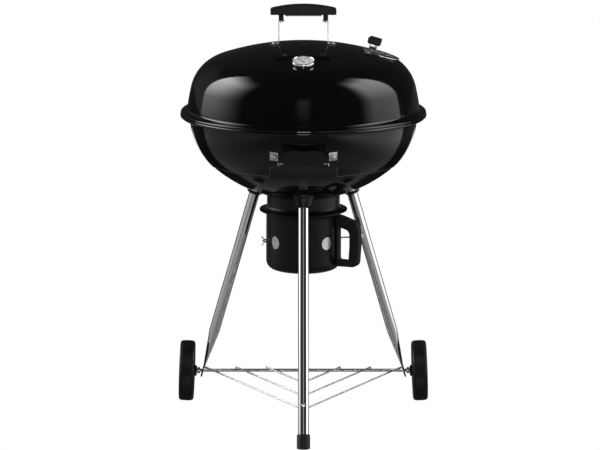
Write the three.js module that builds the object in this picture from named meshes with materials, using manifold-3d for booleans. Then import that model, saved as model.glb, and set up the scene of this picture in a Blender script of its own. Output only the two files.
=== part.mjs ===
// Kettle charcoal grill: an enamelled bowl and lid on three tubular legs, with an ash pot under the
// bowl, two wheels on an axle and a wire rack between the legs.
// Millimetres, +Z up, the front towards -Y, the floor at z = 0.

import * as THREE from 'three';
import { mergeVertices } from 'three/addons/utils/BufferGeometryUtils.js';
import Module from 'manifold-3d';

const wasm = await Module();
wasm.setup();

// ------------------------------------------------------------------ driving dimensions

const gap = 0.3; // clearance between pieces that touch
const sheet = 1.5; // enamelled steel sheet of the kettle
const kettleSides = 32; // flats round the kettle's shells
const degree = Math.PI / 180;

const rimRadius = 300; // the bowl's rolled rim, outside
const seamHeight = 760.7; // lower edge of the closed lid
const beadRadius = 5; // the rolled rim's own radius

const lidPole = 930.8; // top of the closed lid
const lidArcs = {
  crown: { radius: 660, angle: 18.3 },
  shoulder: { radius: 100, angle: 77.1 },
  wall: { radius: 635 },
};
const lidFlange = { start: 775, fillet: 8, lip: 5, lipRadius: 299 };

const bowlPole = 547.6; // lowest point of the bowl, outside
const bowlArcs = {
  crown: { radius: 345, angle: 39.3 },
  shoulder: { radius: 147, angle: 63.3 },
  wall: { radius: 195.6 },
};
const ledge = { height: 640, width: 2.2 }; // the pressed step inside which the coals lie

const grate = { radius: 268, wire: 2.5, height: 742.4, rods: 17, pitch: 31 };
const coalGrate = { radius: 229.5, wire: 3, height: 643.5, rods: 13, pitch: 33 };

const grip = { length: 160, width: 26, bottom: 69, endTop: 84.2, midTop: 94.2, bossX: 54, bossDrop: 13.8 };
const strap = { thickness: 2, width: 22, web: 59.5, footEnd: 79.5, boltX: 69.5 };
const bowlHandle = { height: 695, dip: 15.5 };

const vent = { radius: 46, seat: 189, holeRing: 27, holeRadius: 9.5, dish: 560 };
const thermometer = { seat: 177, radius: 28, height: 9, stem: 3 };

const legTube = { radius: 13, wall: 1.2, topHeight: 570, footReach: 317, lean: 0.325 };
const legAzimuths = { front: -90, right: 30, left: 150 };

const wheel = { radius: 76, width: 37, centreX: 292.8, camber: 2, bore: 5.1 };
const axleRadius = 4;

const pot = { radius: 91.6, wall: 1.2, bottom: 372, corner: 22, lip: 507, seam: 520, brim: 107.5 };
const collar = { radius: 89.5, shoulder: 533, top: 559 };
const potHoles = { radius: 16, height: 447, first: -50.4, turn: 24 };
const damperBolts = { height: 444, azimuth: 12, radius: 2, leverReach: 141 };
const potHandle = { azimuth: -25, width: 18 };

const rack = { height: 83.2, wire: 2, spread: 77, outer: 243.5, crossY: 16, screwRise: 12.5 };

// ------------------------------------------------------------------ finishes

const enamel = () => finish(0x0b0b0c, 0.12, 0.0);
const satinBlack = () => finish(0x1a1a1b, 0.45, 0.0);
const blackPlastic = () => finish(0x202022, 0.6, 0.0);
const chromeTube = () => finish(0xd8dadc, 0.12, 1.0);
const plainSteel = () => finish(0xb4b6b8, 0.35, 1.0);
const wireSteel = () => finish(0x9a9c9e, 0.3, 1.0);

function finish(color, roughness, metalness) {
  return new THREE.MeshStandardMaterial({ color, roughness, metalness });
}

// ------------------------------------------------------------------ making solids

/** A three.js geometry as a solid that can be joined and cut. */
function solid(geometry) {
  const bare = geometry.clone();
  bare.deleteAttribute('normal');
  bare.deleteAttribute('uv');
  const merged = mergeVertices(bare, 1e-4);
  const corners = merged.index.array;
  const kept = [];
  for (let i = 0; i < corners.length; i += 3) {
    const [a, b, c] = [corners[i], corners[i + 1], corners[i + 2]];
    if (a !== b && b !== c && c !== a) kept.push(a, b, c);
  }
  return new wasm.Manifold(new wasm.Mesh({
    numProp: 3,
    vertProperties: Float32Array.from(merged.attributes.position.array),
    triVerts: Uint32Array.from(kept),
  }));
}

/** A solid as a three.js geometry. */
function geometryOf(body) {
  const { vertProperties, triVerts } = body.getMesh();
  const geometry = new THREE.BufferGeometry();
  geometry.setAttribute('position', new THREE.BufferAttribute(Float32Array.from(vertProperties), 3));
  geometry.setIndex(new THREE.BufferAttribute(Uint32Array.from(triVerts), 1));
  geometry.computeVertexNormals();
  return geometry;
}

function join(bodies) {
  return bodies.reduce((whole, body) => whole.add(body));
}

function cut(body, tools) {
  return tools.reduce((rest, tool) => rest.subtract(tool), body);
}

/** A copy of a geometry moved by a matrix, as a solid. */
function placed(geometry, matrix) {
  return solid(geometry.clone().applyMatrix4(matrix));
}

/** A round bar or cone along Z. */
function bar(radius, low, high, sides = 16, topRadius = radius) {
  const geometry = new THREE.CylinderGeometry(topRadius, radius, high - low, sides);
  return geometry.rotateX(Math.PI / 2).translate(0, 0, (low + high) / 2);
}

/** A box between two corners. */
function block(low, high) {
  const size = high.map((value, i) => value - low[i]);
  const middle = high.map((value, i) => (value + low[i]) / 2);
  return new THREE.BoxGeometry(...size).translate(...middle);
}

/** A round wire from one point to another. */
function wire(from, to, radius, sides = 4) {
  const along = to.clone().sub(from);
  const geometry = new THREE.CylinderGeometry(radius, radius, along.length(), sides);
  const turn = new THREE.Quaternion().setFromUnitVectors(new THREE.Vector3(0, 1, 0), along.normalize());
  const middle = from.clone().add(to).multiplyScalar(0.5);
  return solid(geometry.applyQuaternion(turn).translate(middle.x, middle.y, middle.z));
}

/** A path straight from point to point, along which a wire is bent. */
class Bends extends THREE.Curve {
  constructor(points) {
    super();
    this.points = points;
  }

  indexAt(u) {
    return Math.round(u * (this.points.length - 1));
  }

  getPointAt(u) {
    return this.points[this.indexAt(u)].clone();
  }

  getTangentAt(u) {
    const i = this.indexAt(u);
    const last = this.points.length - 1;
    const before = this.points[Math.max(i, 1)].clone().sub(this.points[Math.max(i, 1) - 1]).normalize();
    const after = this.points[Math.min(i, last - 1) + 1].clone()
      .sub(this.points[Math.min(i, last - 1)]).normalize();
    return before.add(after).normalize();
  }
}

/** The points of a path with every corner rounded off. */
function rounded(points, radius) {
  const path = [points[0]];
  for (let i = 1; i < points.length - 1; i += 1) {
    const [before, corner, after] = [points[i - 1], points[i], points[i + 1]];
    const start = corner.clone().add(before.clone().sub(corner).setLength(radius));
    const end = corner.clone().add(after.clone().sub(corner).setLength(radius));
    path.push(...new THREE.QuadraticBezierCurve3(start, corner, end).getPoints(3));
  }
  path.push(points[points.length - 1]);
  return path;
}

/** A round wire bent along a path. */
function bentWire(points, radius, sides = 6) {
  const round = new THREE.Shape(Array.from({ length: sides }, (_, i) => {
    const angle = (i * 2 * Math.PI) / sides;
    return new THREE.Vector2(radius * Math.cos(angle), radius * Math.sin(angle));
  }));
  return solid(new THREE.ExtrudeGeometry(round, {
    steps: points.length - 1, bevelEnabled: false, extrudePath: new Bends(points),
  }));
}

/** A closed outline of [radius, height] points spun round Z. */
function spun(outline, sides = kettleSides) {
  const points = outline.map(([r, z]) => new THREE.Vector2(Math.max(r, 0), z));
  if (THREE.ShapeUtils.area(points) < 0) points.reverse();
  points.push(points[0].clone());
  return new THREE.LatheGeometry(points, sides).rotateX(Math.PI / 2);
}

/** Points on an arc in the [radius, height] plane, angles in degrees from +radius towards +height. */
function arc(centreR, centreZ, radius, from, to, steps) {
  return Array.from({ length: steps + 1 }, (_, i) => {
    const angle = (from + ((to - from) * i) / steps) * degree;
    return [centreR + radius * Math.cos(angle), centreZ + radius * Math.sin(angle)];
  });
}

/** Gives a line of points a thickness: the side to the left of its direction is filled. */
function thicken(line, thickness) {
  const leftOf = (a, b) => {
    const length = Math.hypot(b[0] - a[0], b[1] - a[1]);
    return [-(b[1] - a[1]) / length, (b[0] - a[0]) / length];
  };
  const far = line.map((point, i) => {
    const before = leftOf(line[Math.max(i - 1, 0)], line[Math.max(i, 1)]);
    const after = leftOf(line[Math.min(i, line.length - 2)], line[Math.min(i + 1, line.length - 1)]);
    const sum = [before[0] + after[0], before[1] + after[1]];
    const scale = (2 * thickness) / (sum[0] ** 2 + sum[1] ** 2);
    if (point[0] === 0) return [0, point[1] + Math.sign(sum[1]) * thickness];
    return [point[0] + sum[0] * scale, point[1] + sum[1] * scale];
  });
  return [...line, ...far.reverse()];
}

/** A frame on a surface: origin, its Z along the normal, its X as near as can be to a hint. */
function frameAt(origin, normal, hint) {
  const z = normal.clone().normalize();
  const y = z.clone().cross(hint).normalize();
  const x = y.clone().cross(z);
  return new THREE.Matrix4().makeBasis(x, y, z).setPosition(origin);
}

function polar(radius, azimuth, height) {
  return new THREE.Vector3(
    radius * Math.cos(azimuth * degree), radius * Math.sin(azimuth * degree), height);
}

// ------------------------------------------------------------------ the kettle's outlines

/** Three tangent arcs from the pole outwards. Rise is -1 for a lid and +1 for a bowl. */
function dome(pole, rise, arcs, edge, grow = 0, steps = [3, 4, 2]) {
  const points = [];
  const stretch = (centreR, centreZ, radius, from, to, count) => {
    for (let i = points.length ? 1 : 0; i <= count; i += 1) {
      const angle = from + ((to - from) * i) / count;
      points.push([centreR + radius * Math.sin(angle), centreZ - rise * radius * Math.cos(angle)]);
    }
  };
  const crown = arcs.crown.radius + grow;
  const crownZ = pole + rise * arcs.crown.radius;
  const first = arcs.crown.angle * degree;
  const second = arcs.shoulder.angle * degree;
  const shoulderR = (arcs.crown.radius - arcs.shoulder.radius) * Math.sin(first);
  const shoulderZ = crownZ - rise * (arcs.crown.radius - arcs.shoulder.radius) * Math.cos(first);
  const wallR = shoulderR + (arcs.shoulder.radius - arcs.wall.radius) * Math.sin(second);
  const wallZ = shoulderZ - rise * (arcs.shoulder.radius - arcs.wall.radius) * Math.cos(second);
  const wall = arcs.wall.radius + grow;
  const last = Math.acos((wallZ - edge) / (rise * wall));
  stretch(0, crownZ, crown, 0, first, steps[0]);
  stretch(shoulderR, shoulderZ, arcs.shoulder.radius + grow, first, second, steps[1]);
  stretch(wallR, wallZ, wall, second, last, steps[2]);
  return points;
}

const lidOuter = dome(lidPole, -1, lidArcs, lidFlange.start);

/** The bowl's surface from its pole to under the rim, grown outwards, with the pressed ledge. */
function bowlSurface(grow) {
  const smooth = dome(bowlPole, 1, bowlArcs, 750, grow, [4, 4, 2]);
  const above = smooth.filter(([, z]) => z > ledge.height + 1);
  const below = smooth.filter(([, z]) => z < ledge.height - 2);
  const edge = radiusAt(smooth, ledge.height);
  const shrink = (edge - ledge.width) / edge;
  const stepped = [[edge - ledge.width, ledge.height - 0.4], [edge, ledge.height + 0.4]];
  return [...below.map(([r, z]) => [r * shrink, z]), ...stepped, ...above];
}

function radiusAt(outline, height) {
  const i = outline.findIndex(([, z], n) => n > 0 && (z - height) * (outline[n - 1][1] - height) <= 0);
  const [[r0, z0], [r1, z1]] = [outline[i - 1], outline[i]];
  return r0 + ((r1 - r0) * (height - z0)) / (z1 - z0);
}

/** The point and the upward normal of an outline at a radius from the axis. */
function onOutline(outline, radius, azimuth) {
  const i = outline.findIndex(([r]) => r > radius);
  const [[r0, z0], [r1, z1]] = [outline[i - 1], outline[i]];
  const slope = (z1 - z0) / (r1 - r0);
  return {
    origin: polar(radius, azimuth, z0 + (radius - r0) * slope),
    normal: polar(-slope, azimuth, 1).normalize(),
  };
}

/** A frame on the lid's crown. */
function onLid(radius, azimuth) {
  const { origin, normal } = onOutline(lidOuter, radius, azimuth);
  return frameAt(origin, normal, polar(1, azimuth, 0));
}

/** A frame on the bowl's outer wall. */
function onBowl(azimuth, height) {
  const outer = bowlSurface(0);
  const step = 4;
  const slope = (radiusAt(outer, height + step) - radiusAt(outer, height - step)) / (2 * step);
  const normal = polar(1, azimuth, -slope).normalize();
  return frameAt(polar(radiusAt(outer, height), azimuth, height), normal, new THREE.Vector3(1, 0, 0));
}

// The bowl filled in and grown by the gap: it trims whatever is fixed against the bowl.
const bowlVolume = solid(spun([...bowlSurface(gap), [0, 750]]));

// ------------------------------------------------------------------ the assembly

const grill = new THREE.Group();

function add(name, body, material, matrix) {
  const shape = body instanceof wasm.Manifold ? body : solid(body);
  const mesh = new THREE.Mesh(geometryOf(shape), material);
  if (matrix) mesh.applyMatrix4(matrix);
  mesh.name = name;
  grill.add(mesh);
}

// ------------------------------------------------------------------ fasteners

/** A bolt along Z with a low domed head on top and a hexagon nut below. */
function boltWithNut({ radius, head, headRadius, headHeight, nut, nutRadius = headRadius }) {
  const crown = [[0, head + headHeight], [headRadius * 0.6, head + headHeight * 0.8], [headRadius, head],
    [0, head]];
  return join([
    solid(spun(crown, 10)),
    solid(bar(radius, nut - 4.5, head + headHeight / 2, 8)),
    solid(bar(nutRadius, nut - 3.5, nut, 6)),
  ]);
}

/** A screw along Z whose head is at the bottom. */
function screwUp({ radius, headRadius, head, tip }) {
  return join([
    solid(bar(radius, head - 1, tip, 8)),
    solid(bar(headRadius * 0.75, head - 2.6, head, 12, headRadius)),
  ]);
}

// ------------------------------------------------------------------ bowl and grates

const handleBoltAzimuth = Math.asin(strap.boltX / radiusAt(bowlSurface(0), bowlHandle.height)) / degree;
const sides = [['left', -1], ['right', 1]];

function bowlFootFrame(side) {
  return onBowl(-90 + side * handleBoltAzimuth, bowlHandle.height);
}

function makeBowl() {
  const inner = bowlSurface(-sheet);
  const wallTop = inner[inner.length - 1][0];
  const fillet = 9;
  const line = [
    ...inner,
    ...arc(wallTop + fillet, 752, fillet, 180, 90, 2),
    ...arc(rimRadius - beadRadius, 756, beadRadius, 90, -150, 4),
  ];
  const holes = sides.map(([, side]) => placed(bar(3.4, -12, 12, 8), bowlFootFrame(side)));
  const dropRing = 50;
  for (let i = 0; i < 6; i += 1) {
    const at = polar(dropRing, i * 60, bowlPole);
    holes.push(solid(bar(17, -20, 30, 10).translate(at.x, at.y, at.z)));
  }
  holes.push(solid(bar(15, bowlPole - 20, bowlPole + 20, 10)));
  for (const azimuth of Object.values(legAzimuths)) {
    holes.push(placed(bar(3.4, -20, 20, 8), socketBoltFrame(azimuth)));
  }
  const rests = [45, 135, 225, 315].map((azimuth) => {
    const tab = block([-13.5, -11, -1], [0, 11, 1]);
    return placed(tab, new THREE.Matrix4().makeRotationZ(azimuth * degree)
      .setPosition(polar(radiusAt(inner, 738) + 0.8, azimuth, 738)));
  });
  const shell = cut(solid(spun(thicken(line, -sheet))), holes);
  add('bowl', join([shell, ...rests]), enamel());
}

/** A round grid of parallel wires with a ring round it and two bars under it. */
function grid({ radius, wire: thick, height, rods, pitch }, crossbars) {
  const parts = [solid(new THREE.TorusGeometry(radius, thick, 4, kettleSides).translate(0, 0, height))];
  for (let i = 0; i < rods; i += 1) {
    const x = (i - (rods - 1) / 2) * pitch;
    const reach = Math.sqrt(radius * radius - x * x);
    parts.push(wire(new THREE.Vector3(x, -reach, height), new THREE.Vector3(x, reach, height), thick * 0.8, 4));
  }
  for (const y of crossbars) {
    const reach = Math.sqrt(radius * radius - y * y) - 2 * thick;
    const low = height - thick * 1.2;
    parts.push(wire(new THREE.Vector3(-reach, y, low), new THREE.Vector3(reach, y, low), thick * 0.9, 4));
  }
  return join(parts);
}

function makeGrates() {
  add('cooking_grate', grid(grate, [-95, 95]), plainSteel());
  add('charcoal_grate', grid(coalGrate, [-80, 80]), wireSteel());
}

// ------------------------------------------------------------------ handles

/** The moulded grip, standing on two round bosses. Its own frame has Z away from the kettle. */
function gripShape() {
  const half = grip.length / 2;
  const rise = grip.midTop - grip.endTop;
  const archRadius = (half * half + rise * rise) / (2 * rise);
  const archAngle = Math.asin((half - 3) / archRadius);
  const outline = new THREE.Shape();
  outline.moveTo(-half, grip.bottom + 2);
  outline.lineTo(-half + 2, grip.bottom);
  outline.lineTo(half - 2, grip.bottom);
  outline.lineTo(half, grip.bottom + 2);
  outline.lineTo(half, grip.endTop - 3);
  for (let i = 0; i <= 8; i += 1) {
    const angle = archAngle * (1 - i / 4);
    outline.lineTo(archRadius * Math.sin(angle), grip.midTop - archRadius * (1 - Math.cos(angle)));
  }
  outline.lineTo(-half, grip.endTop - 3);
  const bevel = 3;
  const body = new THREE.ExtrudeGeometry(outline, {
    depth: grip.width - 2 * bevel, bevelEnabled: true, bevelThickness: bevel, bevelSize: bevel,
    bevelOffset: -bevel, bevelSegments: 1, curveSegments: 6,
  });
  body.translate(0, 0, -(grip.width - 2 * bevel) / 2).rotateX(Math.PI / 2);
  const bosses = [-1, 1].map((side) => {
    const boss = solid(bar(6, grip.bottom - grip.bossDrop, grip.bottom + 4, 16)
      .translate(side * grip.bossX, 0, 0));
    return cut(boss, [solid(bar(2.3, 40, grip.bottom + 2, 8).translate(side * grip.bossX, 0, 0))]);
  });
  const pilot = [-1, 1].map((side) => solid(bar(2.3, 40, grip.bottom + 6, 8)
    .translate(side * grip.bossX, 0, 0)));
  return cut(join([solid(body), ...bosses]), pilot);
}

/** One sheet-metal strap: flange under the boss, upright web, and a foot in the foot's frame. */
function strapShape(side, handleFrame, footFrame, footFrom, footTo, webFoot) {
  const top = grip.bottom - grip.bossDrop - gap;
  const half = strap.width / 2;
  const t = strap.thickness;
  const inOut = (from, to) => (side > 0 ? [from, to] : [-to, -from]);
  const [flangeLow, flangeHigh] = inOut(strap.web - 14, strap.web + t / 2);
  const [webLow, webHigh] = inOut(strap.web - t / 2, strap.web + t / 2);
  const hole = solid(bar(2.4, top - 6, top + 2, 8).translate(side * grip.bossX, 0, 0)
    .applyMatrix4(handleFrame));
  const bolt = placed(bar(3.3, -4, 8, 10), footFrame);
  const [footLow, footHigh] = inOut(footFrom, footTo);
  const pieces = [
    placed(block([flangeLow, -7, top - t], [flangeHigh, 7, top]), handleFrame),
    placed(block([webLow, -half, webFoot], [webHigh, half, top]), handleFrame),
    placed(block([footLow, -half, gap], [footHigh, half, gap + t]), footFrame),
  ];
  return cut(join(pieces), [hole, bolt]);
}

const footBolt = { radius: 3, head: gap + strap.thickness + gap, headRadius: 6.5, headHeight: 3.6 };
const gripScrew = {
  radius: 2, headRadius: 4, head: grip.bottom - grip.bossDrop - strap.thickness - 2 * gap, tip: grip.bottom + 4,
};

function makeLidHandle() {
  const frame = new THREE.Matrix4().setPosition(0, 0, lidPole);
  add('lid_handle_grip', gripShape(), blackPlastic(), frame);
  for (const [name, side] of sides) {
    const foot = onLid(strap.boltX, side > 0 ? 0 : 180);
    const local = frameAt(
      new THREE.Vector3().setFromMatrixPosition(foot),
      new THREE.Vector3().setFromMatrixColumn(foot, 2), new THREE.Vector3(1, 0, 0));
    const reach = strap.footEnd - strap.boltX;
    add(`lid_handle_strap_${name}`,
      strapShape(side, frame, local, strap.web - 1 - strap.boltX, reach, -1.6), plainSteel());
    add(`lid_handle_bolt_${name}`, boltWithNut({ ...footBolt, nut: -sheet - 0.7 }), plainSteel(), local);
    add(`lid_handle_screw_${name}`, screwUp(gripScrew), plainSteel(),
      frame.clone().multiply(new THREE.Matrix4().setPosition(side * grip.bossX, 0, 0)));
  }
}

function makeBowlHandle() {
  const origin = polar(radiusAt(bowlSurface(0), bowlHandle.height), -90, bowlHandle.height);
  const dip = bowlHandle.dip * degree;
  const frame = frameAt(origin, polar(Math.cos(dip), -90, -Math.sin(dip)), new THREE.Vector3(1, 0, 0));
  add('bowl_handle_grip', gripShape(), blackPlastic(), frame);
  for (const [name, side] of sides) {
    const foot = bowlFootFrame(side);
    const reach = strap.footEnd - strap.boltX;
    const body = strapShape(side, frame, foot, -reach - 0.6, reach, -9);
    add(`bowl_handle_strap_${name}`, cut(body, [bowlVolume]), plainSteel());
    add(`bowl_handle_bolt_${name}`, boltWithNut({ ...footBolt, nut: -sheet - 1.6 }), plainSteel(), foot);
    add(`bowl_handle_screw_${name}`, screwUp(gripScrew), plainSteel(),
      frame.clone().multiply(new THREE.Matrix4().setPosition(side * grip.bossX, 0, 0)));
  }
}

// ------------------------------------------------------------------ lid, vent and thermometer

const ventFrame = onLid(vent.seat, 0);
const thermometerFrame = onLid(thermometer.seat, -90);

function ventHoles(radius, low, high) {
  return [45, 135, 225, 315].map((azimuth) => {
    const at = polar(vent.holeRing, azimuth, 0);
    return bar(radius, low, high, 10).translate(at.x, at.y, 0);
  });
}

function makeLid() {
  const end = lidOuter[lidOuter.length - 1];
  const line = [
    ...lidOuter.slice(0, -1),
    ...arc(end[0] + lidFlange.fillet, end[1], lidFlange.fillet, 180, 270, 2),
    ...arc(lidFlange.lipRadius - lidFlange.lip, end[1] - lidFlange.fillet - lidFlange.lip,
      lidFlange.lip, 90, 0, 2),
    [lidFlange.lipRadius, seamHeight],
  ];
  const holes = [
    ...ventHoles(vent.holeRadius, -14, 14).map((hole) => placed(hole, ventFrame)),
    placed(bar(2.9, -14, 14, 10), ventFrame),
    placed(bar(thermometer.stem + 0.4, -14, 14, 12), thermometerFrame),
    ...[0, 180].map((azimuth) => placed(bar(3.4, -12, 12, 8), onLid(strap.boltX, azimuth))),
  ];
  add('lid', cut(solid(spun(thicken(line, -sheet))), holes), enamel());
}

/** A dished round plate with its middle at z = base. */
function dished(radius, base, thickness, count = 20) {
  const sag = (r) => base - (vent.dish - Math.sqrt(vent.dish ** 2 - r * r));
  const radii = [0, radius * 0.6, radius];
  const low = radii.map((r) => [r, sag(r)]);
  return spun([...low, ...low.map(([r, z]) => [r, z + thickness]).reverse()], count);
}

function makeVent() {
  const thickness = 1.2;
  const base = 2.6;
  const tabAt = [-22, 29];
  const plate = cut(solid(dished(vent.radius, base, thickness)), [
    ...ventHoles(vent.holeRadius, -6, 10).map(solid), solid(bar(2.9, -6, 10, 10)),
  ]);
  const tab = solid(block([tabAt[0] - 9.5, tabAt[1], base - 0.6], [tabAt[0] + 9.5, tabAt[1] + thickness, 18.5]));
  add('lid_damper', join([plate, tab]), plainSteel(), ventFrame);
  const outline = new THREE.Shape();
  const [x0, z0] = [tabAt[0] - 18, 12];
  outline.moveTo(x0 + 3, z0);
  outline.lineTo(x0 + 31, z0);
  outline.lineTo(x0 + 34, z0 + 4);
  outline.lineTo(x0 + 34, z0 + 20);
  outline.lineTo(x0 + 5, z0 + 20);
  outline.lineTo(x0, z0 + 13);
  const knob = new THREE.ExtrudeGeometry(outline, {
    depth: 5, bevelEnabled: true, bevelThickness: 1.5, bevelSize: 1.5, bevelOffset: -1.5, bevelSegments: 1,
  }).translate(0, 0, -2.5).rotateX(Math.PI / 2).translate(0, tabAt[1] + thickness / 2, 0);
  const slot = solid(block([tabAt[0] - 9.9, tabAt[1] - gap, z0 - 2],
    [tabAt[0] + 9.9, tabAt[1] + thickness + gap, 18.9]));
  add('lid_damper_knob', cut(solid(knob), [slot]), blackPlastic(), ventFrame);
  const rivet = join([
    solid(bar(5, base + thickness + gap, base + thickness + gap + 1.6, 12, 3.5)),
    solid(bar(2.4, -5, base + thickness + 1.2, 10)),
    solid(bar(4.5, -4.6, -sheet - 0.8, 12)),
  ]);
  add('lid_damper_rivet', rivet, plainSteel(), ventFrame);
}

function makeThermometer() {
  const { radius, height, stem } = thermometer;
  const seat = 0.6;
  const face = height - 3;
  const probe = 58;
  const cup = spun([
    [0, seat], [radius - 5, seat], [radius - 4, seat + 2], [radius, seat + 3], [radius, height - 1],
    [radius - 1.5, height], [radius - 3.5, height], [radius - 3.5, face - 3], [0, face - 3],
  ], 24);
  const cased = join([solid(cup), solid(bar(stem, -probe, seat + 1, 12, stem))]);
  add('thermometer_case', cased, chromeTube(), thermometerFrame);
  const inside = radius - 3.8 - gap;
  add('thermometer_dial', cut(solid(bar(inside, face - 2.7, face - 1.9, 24)), [solid(bar(1.5, 0, 9, 10))]),
    finish(0xe6e6e2, 0.5, 0.0), thermometerFrame);
  const needle = join([
    solid(block([-4, -0.7, face - 1.5], [18, 0.7, face - 0.9])), solid(bar(2.4, face - 1.5, face - 0.5, 12)),
  ]);
  const cold = new THREE.Matrix4().makeRotationZ(225 * degree);
  add('thermometer_needle', needle, finish(0x151515, 0.5, 0.0), thermometerFrame.clone().multiply(cold));
  add('thermometer_lens', bar(inside, face + 0.2, face + 1.8, 24), finish(0xdfe6ea, 0.05, 0.0),
    thermometerFrame);
  const nut = cut(solid(bar(8, -sheet - 5, -sheet - 0.8, 6)), [solid(bar(stem + gap, -12, 4, 12))]);
  add('thermometer_nut', nut, plainSteel(), thermometerFrame);
}

// ------------------------------------------------------------------ legs and sockets

const lean = Math.atan(legTube.lean);

function legReach(height) {
  return legTube.footReach - legTube.lean * height;
}

/** A leg's frame: origin at the tube's top end, Z up along the tube, X outwards. */
function legFrame(azimuth) {
  const along = polar(-Math.sin(lean), azimuth, Math.cos(lean));
  return frameAt(polar(legReach(legTube.topHeight), azimuth, legTube.topHeight), along,
    polar(1, azimuth, 0));
}

/** Where the bolt inside the bowl goes down into a leg's socket. */
function socketBoltFrame(azimuth) {
  const { origin, normal } = onOutline(bowlSurface(0), 112, azimuth);
  return frameAt(origin, normal, polar(1, azimuth, 0));
}

const legScrewDrop = 5; // below the tube's top end, along the leg

function makeSocket(name, azimuth) {
  const frame = legFrame(azimuth);
  const mouth = -23;
  const body = placed(spun([
    [0, mouth], [17.5, mouth], [20.5, mouth + 3], [29.5, 22], [29.5, 34], [0, 34],
  ], 16), frame);
  const boltFrame = socketBoltFrame(azimuth);
  const screwFrame = frame.clone().multiply(new THREE.Matrix4().makeRotationY(Math.PI / 2)
    .setPosition(0, 0, -legScrewDrop));
  const socket = cut(body, [
    bowlVolume,
    placed(bar(legTube.radius + gap, mouth - 2, gap, 16), frame),
    placed(bar(3.3, -16, 6, 10), boltFrame),
    placed(bar(2.5, 0, 40, 10), screwFrame),
  ]);
  add(`leg_socket_${name}`, socket, satinBlack());
  const bolt = join([
    solid(bar(6, sheet + 1.2, sheet + 4.7, 6)), solid(bar(3, -14, sheet + 2, 10)),
  ]);
  add(`socket_bolt_${name}`, bolt, plainSteel(), boltFrame);
  const screw = join([
    solid(bar(2.2, legTube.radius - 4, 26, 10)),
    solid(spun([[0, 25.2], [5.5, 25.2], [5, 27.6], [2.5, 28.8], [0, 28.8]], 12)),
  ]);
  add(`leg_screw_${name}`, screw, plainSteel(), screwFrame);
}

/** The hollow tube of a leg along its own -Z, with the screw hole near its top. */
function tubeOutline(stations) {
  const outer = stations.map((z) => [legTube.radius, z]);
  const inner = stations.map((z) => [legTube.radius - legTube.wall, z]).reverse();
  return [...outer, ...inner];
}

function makeFrontLeg() {
  const azimuth = legAzimuths.front;
  const frame = legFrame(azimuth);
  const length = (legTube.topHeight - 7) / Math.cos(lean);
  const screw = placed(bar(2.5, 0, 40, 10), new THREE.Matrix4().makeRotationY(Math.PI / 2)
    .setPosition(0, 0, -legScrewDrop));
  const rackHole = placed(bar(2.6, -30, 30, 10), rackScrewInLeg());
  const tube = cut(solid(spun(tubeOutline([-length, 0]), 16)), [screw, rackHole]);
  add('leg_front', tube, chromeTube(), frame);
  const capRadius = legTube.radius + 3;
  const cap = placed(bar(capRadius, -length - 14, -length + 25, 20), frame);
  const bore = placed(bar(legTube.radius + gap, -length - gap, -length + 40, 16), frame);
  const underFloor = solid(block([-60, -legTube.footReach - 60, -60], [60, -legTube.footReach + 60, 0]));
  add('front_foot', cut(cap, [bore, underFloor]), blackPlastic());
}

/** The rack's screw crosses the front leg square to the tube. */
function rackScrewInLeg() {
  const drop = (legTube.topHeight - rack.height - rack.screwRise) / Math.cos(lean);
  return new THREE.Matrix4().makeRotationY(Math.PI / 2).setPosition(0, 0, -drop);
}

/** A rear leg: a round tube pressed flat at its lower end, with the axle's hole through the flat. */
function makeRearLeg(name, azimuth) {
  const frame = legFrame(azimuth);
  const along = new THREE.Vector3().setFromMatrixColumn(frame, 2);
  const acrossAxle = new THREE.Vector3(1, 0, 0).addScaledVector(along, -along.x).normalize();
  const flatFrame = frameAt(new THREE.Vector3().setFromMatrixPosition(frame), along, acrossAxle);
  const toAxle = (legTube.topHeight - axleHeight) / Math.cos(lean);
  const pressFrom = toAxle - 100;
  const pressTo = toAxle - 34;
  const tip = 17;
  const stations = [0, pressFrom, pressFrom + 20, pressFrom + 45, pressTo, toAxle + 6,
    toAxle + 13, toAxle + tip].map((s) => -s).reverse();
  const tube = spun(tubeOutline(stations), 16);
  const position = tube.attributes.position;
  const flatHalf = { outer: 2, inner: 0.8, width: 18.5 };
  for (let i = 0; i < position.count; i += 1) {
    const s = -position.getZ(i);
    const press = THREE.MathUtils.smoothstep(s, pressFrom, pressTo);
    const radius = Math.hypot(position.getX(i), position.getY(i));
    const isOuter = radius > legTube.radius - legTube.wall / 2;
    const thin = (isOuter ? flatHalf.outer : flatHalf.inner) / radius;
    const wide = (isOuter ? flatHalf.width : flatHalf.width - legTube.wall) / radius;
    const over = Math.min(Math.max((s - toAxle) / tip, 0), 0.97);
    const round = Math.sqrt(1 - over * over);
    position.setX(i, position.getX(i) * (1 + press * (thin - 1)));
    position.setY(i, position.getY(i) * (1 + press * (wide - 1)) * round);
  }
  const screw = placed(bar(2.5, 0, 40, 10), frame.clone().multiply(
    new THREE.Matrix4().makeRotationY(Math.PI / 2).setPosition(0, 0, -legScrewDrop)));
  const axleHole = solid(bar(axleRadius + 0.5, -330, 330, 16).rotateY(Math.PI / 2)
    .translate(0, axleY, axleHeight));
  add(`leg_${name}`, cut(placed(tube, flatFrame), [screw, axleHole]), chromeTube());
}

// ------------------------------------------------------------------ wheels and axle

/** The wheel's outline, [radius, place along its axle]: outside positive. */
function wheelOutline() {
  const { radius, width, bore } = wheel;
  const half = width / 2;
  return [
    [bore, -half - 6], [13, -half - 6], [15, -half + 2], [54, -half + 2], [60, -half],
    [radius - 3, -half], [radius, -half + 5], [radius, half - 5], [radius - 3, half],
    [60, half], [54, half - 3], [15, half - 3], [15, half - 10], [bore, half - 10],
  ];
}

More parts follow.
